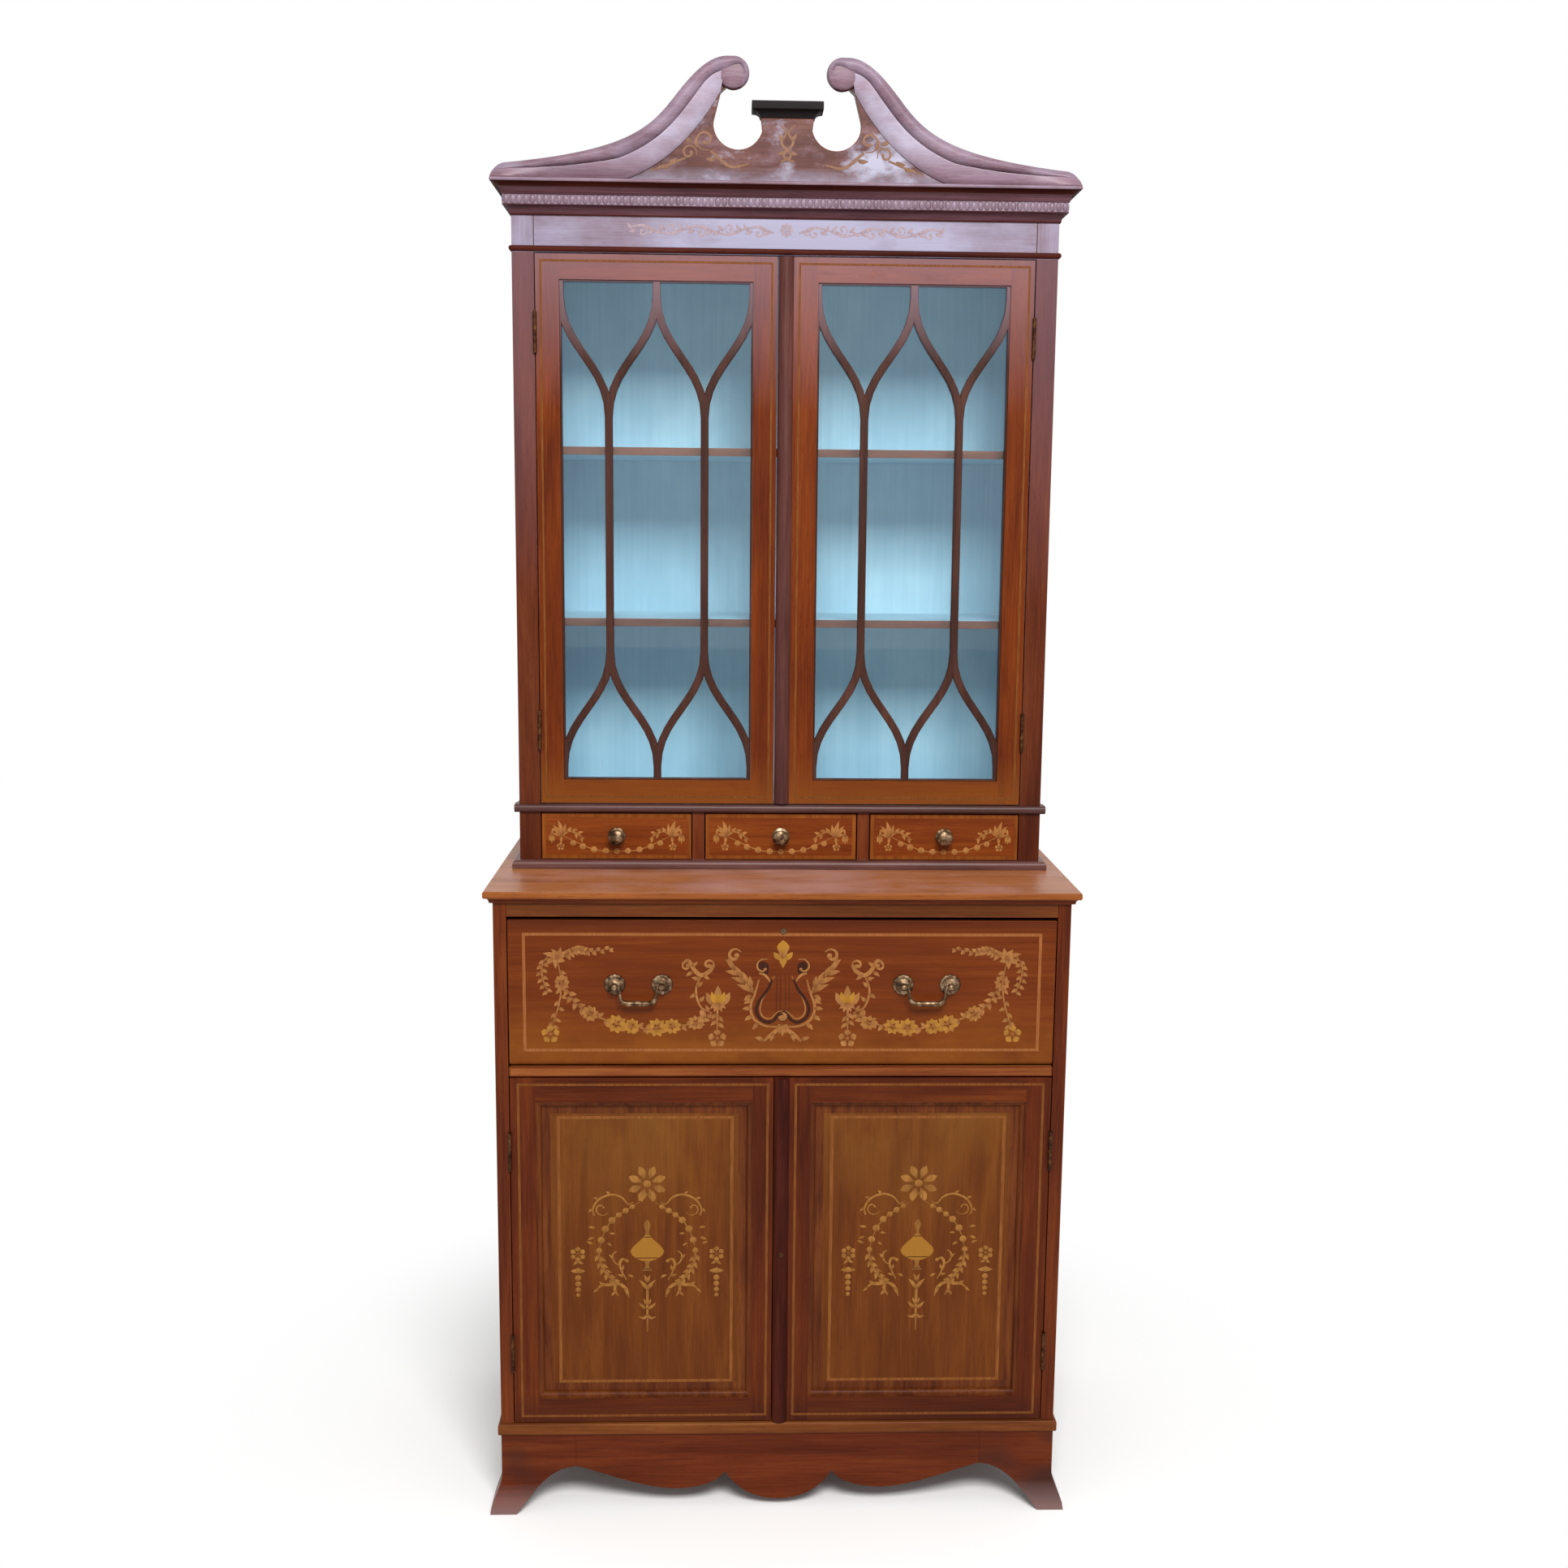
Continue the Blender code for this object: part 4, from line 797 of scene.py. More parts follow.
def smooth(points: Sequence[Point], steps: int = 6) -> list[Vector]:
    """A smooth line through points, as a fretsaw would follow them.

    Args:
        points: Places that the line passes.
        steps: Points on each stretch.

    Returns:
        Points along the line, both ends included.
    """
    knots = [Vector(p) for p in points]
    knots = [2 * knots[0] - knots[1], *knots, 2 * knots[-1] - knots[-2]]
    line = []
    for before, here, after, beyond in zip(knots, knots[1:], knots[2:], knots[3:]):
        leave = here + (after - before) / 6
        arrive = after - (beyond - here) / 6
        line += bezier(here, leave, arrive, after, steps)[:-1]
    return [*line, knots[-2]]


class InlayKind(Enum):
    """Woods of the marquetry, by their slot in an inlay's mesh."""

    SATIN = 0
    BOX = 1
    DARK = 2


@dataclass
class Inlay:
    """Thin shapes of veneer let into one flat front, gathered in one mesh; they are drawn in millimetres."""

    name: str
    face: float  # y of the front that holds the inlay, in metres
    woods: Sequence[Finish] = (SATINWOOD, BOXWOOD, DYED_WOOD)
    axis: float = 0.0  # x from which the shapes are drawn, and about which they are mirrored
    foot: float = 0.0  # height from which the shapes are drawn
    proud: float = 0.22  # real inlay is flush; this keeps its edge in sight
    sunk: float = 0.3
    points: list[tuple[float, float, float]] = field(default_factory=list)
    faces: list[tuple[int, ...]] = field(default_factory=list)
    slots: list[int] = field(default_factory=list)
    scorch: list[float] = field(default_factory=list)
    gilts: list[float] = field(default_factory=list)
    gilt: float = 0.0  # how golden the shapes are that come next
    flip: bool = False
    laid: int = 0

    def height(self) -> float:
        """How far the next shape stands proud, a hair more than the last one so that no two share a plane."""
        self.laid += 1
        return self.proud + 0.0015 * (self.laid % 250)

    def burn(self) -> float:
        """How much darker than the palest piece the next shape is, since no two cuttings match."""
        return 0.32 * (self.laid * 7 % 10) / 10

    def both(self, draw: Callable[[], None]) -> None:
        """Draws a motif and its mirror image.

        Args:
            draw: Method that adds the motif's shapes.
        """
        for self.flip in (False, True):
            draw()
        self.flip = False

    def add_point(self, x: float, z: float, depth: float, scorch: float = 0.0) -> None:
        """Stores a point of a shape, mirrored where that is asked.

        Args:
            x, z: Place on the face, in millimetres.
            depth: Depth behind the face, in millimetres.
            scorch: How far the wood is scorched there, from 0 to 1.
        """
        across = self.axis + (-x if self.flip else x)
        self.points.append((across * MM, self.face + depth * MM, (self.foot + z) * MM))
        self.scorch.append(scorch)
        self.gilts.append(self.gilt)

    def add_faces(self, faces: Sequence[tuple[int, ...]], kind: InlayKind) -> None:
        """Stores faces, turned round where the shape is mirrored.

        Args:
            faces: Numbers of the points round each face.
            kind: Wood of the faces.
        """
        for ring in faces:
            self.faces.append(tuple(ring) if self.flip else tuple(reversed(ring)))
            self.slots.append(kind.value)

    def ribbon(
        self, line: Sequence[Vector], halves: Sequence[float], scorch: Sequence[float], kind: InlayKind
    ) -> None:
        """Adds a flat strip of changing width.

        Args:
            line: Middle line in x and z.
            halves: Half width at each point.
            scorch: How dark the sand has burnt it at each point.
            kind: Wood of the strip.
        """
        start, last, lift = len(self.points), len(line) - 1, self.height()
        for i, here in enumerate(line):
            along = line[min(i + 1, last)] - line[max(i - 1, 0)]
            left = Vector((-along.y, along.x)).normalized() * halves[i]
            for side, depth in ((1, -lift), (-1, -lift), (-1, self.sunk), (1, self.sunk)):
                self.add_point(here.x + side * left.x, here.y + side * left.y, depth, scorch[i])
        rings = [[start + 4 * i + k for k in range(4)] for i in range(last + 1)]
        quads = [tuple(rings[0]), tuple(reversed(rings[-1]))]
        for near, far in zip(rings, rings[1:]):
            quads += [(near[k - 1], near[k], far[k], far[k - 1]) for k in range(4)]
        self.add_faces(quads, kind)

    def disc(self, x: float, z: float, radius: float, kind: InlayKind = InlayKind.SATIN, sides: int = 10) -> None:
        """Adds a round dot.

        Args:
            x, z: Middle.
            radius: Radius.
            kind: Wood.
            sides: Number of sides.
        """
        start = len(self.points)
        for depth in (-self.height(), self.sunk):
            for i in range(sides):
                turn = 2 * pi * i / sides
                along, up = cos(turn), sin(turn)
                self.add_point(x + radius * along, z + radius * up, depth, max(0.0, -up) * 0.6)
        front = list(range(start, start + sides))
        back = [i + sides for i in front]
        quads = [(front[i], back[i], back[i - 1], front[i - 1]) for i in range(sides)]
        self.add_faces([tuple(reversed(front)), tuple(back), *quads], kind)

    def beads(self, rows: Sequence[Point]) -> None:
        """Adds dots, each given by its place and its radius."""
        for row in rows:
            self.disc(*row)

    def leaf(
        self, x: float, z: float, turn_deg: float, length: float, width: float, bend_deg: float = 0.0,
        blunt: float = 0.8,
    ) -> None:
        """Adds a leaf or petal that starts at a point, scorched at its base.

        Args:
            x, z: Start.
            turn_deg: Way that it points, anticlockwise from the right.
            length: Its length.
            width: Its greatest width.
            bend_deg: How far its tip turns.
            blunt: Less than 1 for a pointed leaf and more for a petal that is widest near its tip.
        """
        steps = 6
        line, halves, scorch = [Vector((x, z))], [], []
        for i in range(steps):
            turn = radians(turn_deg + bend_deg * i / steps)
            line.append(line[-1] + Vector((cos(turn), sin(turn))) * length / steps)
        for i in range(steps + 1):
            t = i / steps
            halves.append(width / 2 * max(0.06, sin(pi * (0.06 + 0.94 * t) ** blunt)))
            scorch.append(max(0.0, 0.6 - 1.3 * t) + self.burn())
        self.ribbon(line, halves, scorch, InlayKind.SATIN)

    def leaves(self, rows: Sequence[Point], length: float, width: float, bend_deg: float) -> None:
        """Adds leaves of one size, each given by its start and the way that it points."""
        for row in rows:
            self.leaf(*row, length, width, bend_deg)

    def strand(
        self, points: Sequence[Point], start_half: float, end_half: float, kind: InlayKind = InlayKind.SATIN
    ) -> None:
        """Adds a stem or scroll through points, thickest in its middle.

        Args:
            points: Places in x and z that it passes.
            start_half: Half width at its start.
            end_half: Half width at its end.
            kind: Its wood.
        """
        line = smooth(points)
        count = len(line) - 1
        halves, scorch = [], []
        for i in range(count + 1):
            t = i / count
            halves.append((start_half + (end_half - start_half) * t) * (1 + 0.5 * sin(pi * t)))
            scorch.append(0.35 * cos(pi * t) ** 2)
        self.ribbon(line, halves, scorch, kind)

    def curl(self, x: float, z: float, radius: float, start_deg: float, sweep_deg: float, half: float) -> None:
        """Adds a scroll that winds in to an eye.

        Args:
            x, z: Eye's place.
            radius: Distance from the eye at its outer end.
            start_deg: Where the outer end lies, anticlockwise from the right.
            sweep_deg: How far it winds.
            half: Half width of the strand.
        """
        stops = max(4, int(abs(sweep_deg) / 40))
        points = []
        for i in range(stops + 1):
            t = i / stops
            turn = radians(start_deg + sweep_deg * t)
            reach = radius * (1 - 0.72 * t)
            points.append((x + reach * cos(turn), z + reach * sin(turn)))
        self.strand(points, half * 0.5, half)
        self.disc(*points[-1], half * 1.9)

    def flower(
        self, x: float, z: float, radius: float, petals: int = 6, turn_deg: float = 90.0, fill: float = 1.0
    ) -> None:
        """Adds an open flower.

        Args:
            x, z: Middle.
            radius: Reach of the petals.
            petals: How many there are.
            turn_deg: Way that the first one points.
            fill: Share of the round that the petals fill.
        """
        width = 2 * pi * 0.62 * radius / petals * fill
        for i in range(petals):
            turn = turn_deg + 360 * i / petals
            along = Vector((cos(radians(turn)), sin(radians(turn)))) * radius * 0.24
            self.leaf(x + along.x, z + along.y, turn, radius * 0.76, width, blunt=1.5)
        self.disc(x, z, radius * 0.2, InlayKind.BOX)

    def cluster(self, x: float, z: float, long: float, high: float, turn_deg: float) -> None:
        """Adds a bunch of leaves with a flower in front of it.

        Args:
            x, z: Middle.
            long: Half its length.
            high: Half its height.
            turn_deg: Slope of the bunch.
        """
        lean = radians(turn_deg)
        for i in range(9):
            round_turn = radians(40 * i + 12)
            reach = Vector((long * cos(round_turn), high * sin(round_turn)))
            reach.rotate(Matrix.Rotation(lean, 2))
            way = degrees(atan2(reach.y, reach.x))
            start = reach * 0.34
            self.leaf(x + start.x, z + start.y, way - 14, reach.length * 0.7, high * 0.62, 28)
        self.flower(x, z, high * 0.78, 5, turn_deg + 90, 0.9)

    def husk(self, x: float, z: float, length: float, turn_deg: float = -90.0) -> None:
        """Adds a bellflower of three petals that opens away from its start."""
        for spread, share in ((-26, 0.85), (26, 0.85), (0, 1.0)):
            self.leaf(x, z, turn_deg + spread, length * share, length * 0.34, -spread * 0.8)

    def frame(self, x: Point, z: Point, width: float, kind: InlayKind = InlayKind.BOX) -> None:
        """Adds a rectangle of stringing with mitred corners.

        Args:
            x, z: Outer edges.
            width: Width of the line.
            kind: Wood.
        """
        start = len(self.points)
        for depth in (-self.proud, self.sunk):
            for inset in (0.0, width):
                for corner in corners(x, z, inset):
                    self.add_point(*corner, depth)
        outer, inner, outer_back, inner_back = ([start + 4 * r + k for k in range(4)] for r in range(4))
        for near, far in ((outer, inner), (inner, inner_back), (inner_back, outer_back), (outer_back, outer)):
            self.add_faces([(near[k - 1], far[k - 1], far[k], near[k]) for k in range(4)], kind)

    def line(self, start: Point, end: Point, half: float, kind: InlayKind = InlayKind.BOX) -> None:
        """Adds a straight line of stringing."""
        self.ribbon([Vector(start), Vector(end)], [half, half], [0.0, 0.0], kind)

    def lay(self, body: str) -> None:
        """Makes the gathered shapes one piece.

        Args:
            body: Body that carries the front.
        """
        mesh = bpy.data.meshes.new(self.name)
        mesh.from_pydata(self.points, [], self.faces)
        for wood in self.woods:
            mesh.materials.append(wood.material(Grain.UP))
        mesh.polygons.foreach_set("material_index", self.slots)
        for name, values in (("scorch", self.scorch), ("gilt", self.gilts)):
            mesh.attributes.new(name, "FLOAT", "POINT").data.foreach_set("value", values)
        piece = placed(self.name, mesh)
        bpy.ops.object.mode_set(mode="EDIT")
        bpy.ops.mesh.select_all(action="SELECT")
        bpy.ops.mesh.normals_make_consistent(inside=False)
        bpy.ops.object.mode_set(mode="OBJECT")
        dress(piece, body, self.woods[0])


class CrownInlay(Inlay):
    """Faded scrolls of the pediment and the vine of the frieze."""

    def field_scroll(self) -> None:
        """Right half of the scrolls on the pediment."""
        self.strand(((60, 30), (90, 26), (121, 49)), 1.2, 2)
        self.curl(129, 66, 17, -110, 400, 1.6)
        self.curl(155, 46, 13, 200, -380, 1.5)
        self.leaves(((140, 54, 60), (150, 62, 20), (112, 38, -20), (172, 36, -30), (186, 26, -20)), 17, 7, 40)
        self.strand(((160, 38), (190, 26), (216, 18)), 1.5, 0.8)

    def vine_half(self) -> None:
        """Right half of the vine on the frieze."""
        for i in range(5):
            x, sign = 20 + 46 * i, 1 if i % 2 else -1
            self.strand(((x, 3 * sign), (x + 23, -6 * sign), (x + 46, -3 * sign)), 1.2, 1.2)
            self.curl(x + 24, 3.6 * sign, 8, -90 * sign, 330, 1.2)
            for along, turn in ((6, 40), (12, -30), (34, 30), (40, -40)):
                self.leaf(x + along, 0, sign * turn, 13, 5.4, 30)


class PanelInlay(Inlay):
    """Marquetry of a cupboard panel, drawn from its middle."""

    def urn(self) -> None:
        """The urn, the flower over it and the calyx under it."""
        self.flower(0, 561, 32, 8, 22.5, 0.78)
        self.disc(0, 561, 6.4)
        for turn, bend in ((228, 30), (312, -30)):
            self.leaf(0, 546, turn, 19, 5.6, bend)
        # Half width of the urn at each height: its finial, its bowl of golden wood and its foot
        finial = ((499, 1), (496, 3.6), (491, 5.4), (485, 4), (480, 2.4), (476, 2.4), (473, 4.2))
        bowl = ((473, 4.4), (469, 7), (464, 12), (458, 18.5), (451, 25), (445, 27.6), (438, 24), (432, 15), (429, 8))
        foot = ((429, 5), (424, 3), (419, 3), (415, 7), (412, 8))
        for outline, gilt, scorch in ((finial, 0.0, 0.4), (bowl, 0.9, 0.05), (foot, 0.0, 0.4)):
            self.gilt = gilt
            line, halves = [Vector((0, z)) for z, _ in outline], [half for _, half in outline]
            self.ribbon(line, halves, [scorch] * len(outline), InlayKind.SATIN)
        self.gilt = 0.0
        for z, half in ((470, 6), (434, 17), (415, 7)):
            self.line((-half, z), (half, z), 0.7, InlayKind.DARK)
        self.strand(((0, 386), (0, 350), (0, 306)), 1.9, 0.7)
        # Calyx, cup and bar on the stem: height of each pair of leaves, its slope, length, width and bend
        for z, slope, length, width, bend in (
            (379, 62, 22, 6.4, -26), (391, 78, 15, 5, -20), (345, 30, 18, 5.6, 24), (352, 58, 13, 4.6, 10),
            (329, 4, 15, 4, 16), (336, -52, 12, 4, 12),
        ):
            self.leaf(0, z, slope, length, width, bend)
            self.leaf(0, z, 180 - slope, length, width, -bend)

    def scrolls(self) -> None:
        """The scrolls, beads and branches left of the urn."""
        # Wreath: beads above, leaves on both sides of the stem below
        self.strand(((-12, 530), (-36, 515), (-58, 498), (-72, 473), (-79, 446)), 0.5, 0.5)
        self.beads(((-24, 522, 4.2), (-35, 515.5, 5), (-46, 508, 4.6), (-57, 499, 5.8)))
        self.beads(((-68, 484, 5.9), (-75, 465, 5.7), (-78.5, 447, 4.8)))
        self.strand(((-79, 446), (-76, 426), (-68, 410), (-57, 397), (-50, 391)), 1.1, 1.7)
        self.leaves(((-80, 440, 252), (-77, 428, 258), (-73, 418, 264), (-67, 408, 272), (-60, 399, 280)), 13, 6, -16)
        self.leaves(((-78, 436, 318), (-75, 424, 324), (-70, 414, 330), (-64, 404, 338), (-57, 396, 346)), 13, 6, 16)
        # Leaves that roll out and in from the foot of the wreath
        self.strand(((-51, 392), (-60, 388), (-74, 387), (-86, 377)), 2.4, 0.9)
        self.strand(((-50, 391), (-40, 386), (-33, 377), (-30, 366)), 2.4, 0.9)
        self.strand(((-52, 390), (-53, 379), (-47, 368)), 2.2, 0.8)
        self.leaves(((-68, 388, 168), (-80, 383, 236), (-37, 382, 300), (-52, 378, 244)), 12, 4.6, -30)
        # Scrolls beside the flower
        self.strand(((-22, 530), (-31, 527), (-41, 538), (-58, 543), (-78, 535), (-88, 519), (-86, 507)), 0.8, 1.3)
        self.curl(-74, 519, 13, -30, -300, 0.9)
        self.leaves(((-60, 543, 130), (-79, 535, 150), (-89, 519, 215)), 9, 4, 30)
        self.leaves(((-84, 486, 165), (-86, 470, 195), (-88, 458, 150)), 12, 4.6, 20)
        self.leaves(((-62, 476, 10), (-66, 460, -20)), 10, 4, -30)
        # Curls inside the wreath
        self.strand(((-34, 396), (-42, 412), (-45, 424), (-41, 432), (-33, 430)), 0.9, 1.8)
        self.beads(((-33, 429, 3),))
        self.strand(((-44, 420), (-54, 428), (-56, 440), (-50, 446)), 0.7, 1.1)
        self.leaves(((-42, 412, 60), (-38, 402, 150), (-55, 432, 120), (-22, 400, 140)), 11, 4.6, 30)
        # Pendant of flowers beside the wreath
        self.flower(-113, 441, 13, 6, 90)
        self.leaves(((-113, 429, 215), (-113, 429, 325), (-113, 418, 250), (-113, 418, 290)), 10, 4.6, 20)
        self.leaves(((-112, 412, 180), (-114, 412, 0)), 13, 7, 0)
        self.beads(((-113, 412, 4.6), (-113, 400, 5), (-113, 389.5, 4.6), (-113, 379.5, 4.2), (-113, 370, 3.4)))


class DrawerInlay(Inlay):
    """Marquetry of a small drawer, drawn from its middle."""

    def swag(self) -> None:
        """Left half of a drawer's bead swag with its bow and tassel."""
        self.beads(((-18.5, 1078.6, 5.2), (-38, 1081, 5.4), (-56.5, 1086, 5.4), (-72.5, 1092, 5.0)))
        self.strand(((0, 1078), (-38, 1081), (-88, 1103)), 0.5, 0.5)
        # Bow: three leaves that stand up, a spray towards the knob, a ribbon and a tassel that hang
        for x, z, turn, length, width in (
            (-92, 1104, 122, 23, 7), (-91, 1105, 98, 26, 7.6), (-90, 1104, 72, 21, 6.6), (-93, 1104, 158, 14, 5.6),
        ):
            self.leaf(x, z, turn, length, width, 14)
        self.strand(((-90, 1104), (-78, 1112), (-66, 1107), (-54, 1099)), 1.1, 0.7)
        spray = ((-82, 1110, 60), (-76, 1112, 20), (-70, 1109, -60), (-66, 1107, 30), (-60, 1103, -70))
        self.leaves(spray, 11, 5, -20)
        self.strand(((-94, 1105), (-105, 1115), (-108, 1106)), 1.1, 1.3)
        self.husk(-108, 1107, 16)
        self.leaf(-92, 1104, -95, 13, 5)
        self.flower(-93.5, 1086, 6.8, 5)


class FallInlay(Inlay):
    """Marquetry of the fall."""

    def garland(self) -> None:
        """Corner bow with its spray and drop, and the garland that hangs from it."""
        for turn, length in ((150, 24), (200, 22), (250, 18), (25, 24), (60, 18), (110, 17), (325, 14)):
            self.leaf(-357, 941, turn, length, 8.4, 30)
        self.flower(-357, 941, 9, 5)
        spray = ((-348, 945), (-330, 954), (-308, 951), (-268, 957))
        self.strand(spray, 0.8, 0.6)
        for i, spot in enumerate(smooth(spray, 6)[1:-1]):
            self.leaf(*spot, 42 if i % 2 else -34, 14 - 0.35 * i, 6.4, -24)
        sprig = ((-372, 944), (-381, 928), (-380, 906), (-372, 886))
        drop = ((-355, 930), (-351, 900), (-354, 870), (-362, 842), (-368, 826))
        for stem, steps, turns, length, bend in ((sprig, 4, (-40, 205), 11, 26), (drop, 3, (-35, 215), 12, 20)):
            self.strand(stem, 0.9, 0.7)
            for i, spot in enumerate(smooth(stem, steps)[1:]):
                self.leaf(*spot, turns[i % 2], length, 6, bend)
        self.cluster(-350, 900, 12, 14, 0)
        self.gilt = 0.6
        self.flower(-369, 816, 15, 5)
        self.gilt = 0.0
        swag = (
            (-342, 890), (-330, 868), (-306, 850), (-258, 832), (-222, 826), (-188, 828), (-138, 834), (-122, 846),
        )
        path = smooth(swag, 4)
        self.strand(swag, 0.8, 0.8)
        for i, spot in enumerate(path):
            along = path[min(i + 1, len(path) - 1)] - path[max(i - 1, 0)]
            turn = degrees(atan2(along.y, along.x))
            self.leaf(*spot, turn + (42 if i % 2 else -42), 13, 7, 20 if i % 2 else -20)
        for x, z, long, high, lean in (
            (-306, 850, 14, 13, -36), (-264, 833, 18, 15, -14), (-240, 829, 13, 13, -4),
            (-200, 827, 17, 15, 2), (-176, 829, 15, 13, 6), (-138, 835, 15, 12, 12),
        ):
            self.gilt = 0.6 if -270 < x < -160 else 0.1
            self.cluster(x, z, long, high, lean)
        self.gilt = 0.0

    def stems(self) -> None:
        """The tulip, its stem and the scrolls between the garland and the lyre."""
        for turn, length, bend in ((34, 30, 40), (146, 30, -40), (90, 34, 0)):
            self.leaf(-103, 862, turn, length, 12, bend, blunt=1.2)
        self.gilt = 0.95
        for turn, length, bend in ((58, 26, 20), (122, 26, -20), (90, 22, 0)):
            self.leaf(-103, 862, turn, length, 9, bend, blunt=1.2)
        self.gilt = 0.0
        for turn in (200, 235, 305, 340):
            self.leaf(-103, 866, turn, 15, 7, 30 if turn < 270 else -30)
        self.strand(((-103, 866), (-104, 848), (-104, 822)), 1.2, 0.9)
        for z, turn in ((850, 215), (846, -35), (838, 205), (834, -25)):
            self.leaf(-104, z, turn, 14, 6, 30 if turn > 90 else -30)
        self.flower(-104, 809, 15, 5)
        self.strand(((-160, 931), (-150, 937), (-141, 922), (-130, 913), (-116, 920), (-110, 930)), 2.0, 2.6)
        self.curl(-118, 930, 9, -10, 300, 1.8)
        self.curl(-153, 928, 8, 100, 280, 1.6)
        self.leaves(((-143, 918, 200), (-126, 914, -50), (-146, 928, 20)), 13, 6, 30)
        self.strand(((-131, 911), (-138, 888), (-131, 862), (-112, 850)), 1.3, 0.9)
        self.leaves(((-133, 905, 150), (-137, 894, 30), (-137, 882, 200)), 13, 6.4, 30)
        self.leaves(((-134, 870, 30), (-126, 858, 235), (-118, 852, 100)), 13, 6.4, 30)

    def lyre_half(self) -> None:
        """Left half of the lyre and the acanthus beside it."""
        # Acanthus: long leaves that overlap and a curled tip
        self.curl(-77, 945, 12, 30, 330, 2.2)
        self.strand(((-86, 941), (-78, 924), (-62, 908), (-46, 884)), 2.4, 2.0)
        for x, z, turn, length in (
            (-47, 884, 118, 30), (-48, 886, 146, 28), (-54, 896, 112, 30), (-58, 900, 150, 26),
            (-64, 908, 118, 28), (-70, 914, 156, 22), (-76, 921, 122, 24), (-52, 892, 84, 20),
        ):
            self.leaf(x, z, turn, length, 8.4, 22)
        self.leaves(((-50, 880, 205), (-48, 872, 190)), 15, 7, 30)
        # Frame of the lyre: a dark line between two thin pale ones, and a dark eye at its head
        self.strand(((-38, 906), (-44, 884), (-51, 862), (-46, 842), (-28, 830), (-6, 828)), 1.3, 1.5)
        pale = ((-14, 912), (-22, 892), (-33, 872), (-36, 856), (-31, 845), (-20, 842), (-9, 852), (0, 855))
        self.strand(pale, 0.7, 0.7)
        self.disc(-32, 926, 9.4, InlayKind.DARK, 16)
        self.disc(-29, 920, 6.0, InlayKind.DARK, 14)
        self.curl(-31, 926, 15, 60, 250, 1.3)
        self.strand(((-38, 916), (-30, 914), (-24, 908), (-19, 900)), 1.6, 1.0)
        dark = (
            (-17, 906), (-24, 890), (-36, 873), (-42, 857), (-37, 843), (-25, 836), (-14, 839), (-8, 847), (0, 850),
        )
        self.strand(dark, 1.7, 1.7, InlayKind.DARK)
        for x in (-4, -10):
            self.line((x, 912), (x, 856), 0.35, InlayKind.DARK)
        # Crossed ribbons and small leaves at its foot
        self.strand(((8, 831), (-8, 823), (-22, 812), (-30, 804)), 2.6, 1.6)
        self.leaves(((-50, 858, 170), (-48, 846, 200), (-38, 834, 215), (-30, 806, 150), (-14, 818, 240)), 15, 7, 30)

    def lyre_middle(self) -> None:
        """The palmette over the lyre and the boss at its foot."""
        self.gilt = 0.8
        for turn, bend in ((24, 40), (156, -40)):
            self.leaf(0, 938, turn, 20, 9, bend, blunt=1.2)
        self.leaf(0, 951, 270, 26, 14)
        self.leaf(0, 943, 90, 27, 20, blunt=1.35)
        self.gilt = 0.0
        for turn, bend in ((64, 10), (116, -10)):
            self.leaf(0, 940, turn, 19, 4.6, bend)
        self.disc(0, 846, 9.4, InlayKind.DARK, 16)
        self.disc(0, 845, 7.4, sides=16)
        self.husk(0, 832, 20)


def upright(*finishes: Finish) -> list[Material]:
    """Materials of several finishes whose grain runs up."""
    return [finish.material() for finish in finishes]


def across(*finishes: Finish) -> list[Material]:
    """Materials of several finishes whose grain runs across the front."""
    return [finish.material(Grain.ACROSS) for finish in finishes]


def outer_rim(node: str, proud: float) -> Callable[[Edge], bool]:
    """Test for the long edges of a board that show at its front and its ends.

    Args:
        node: Solid whose outer edges are meant.
        proud: How far its moulded edge reaches past the case.

    Returns:
        Test that is true for an edge of the outer rim.
    """
    low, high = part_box(node)
    near = proud / 2

    def on_rim(point: Vector) -> bool:
        """Whether a point lies at the front or an end."""
        return point.y < low.y + near or abs(point.x) > high.x - near

    def test(edge: Edge) -> bool:
        """Tests an edge: long, level and on the rim.

        Args:
            edge: The edge.

        Returns:
            Whether it is.
        """
        ends = [v.co for v in edge.verts]
        level = abs(ends[0].z - ends[1].z) < 0.1 * MM
        long = (ends[0] - ends[1]).length > 100 * MM
        return level and long and all(on_rim(end) for end in ends)

    return test


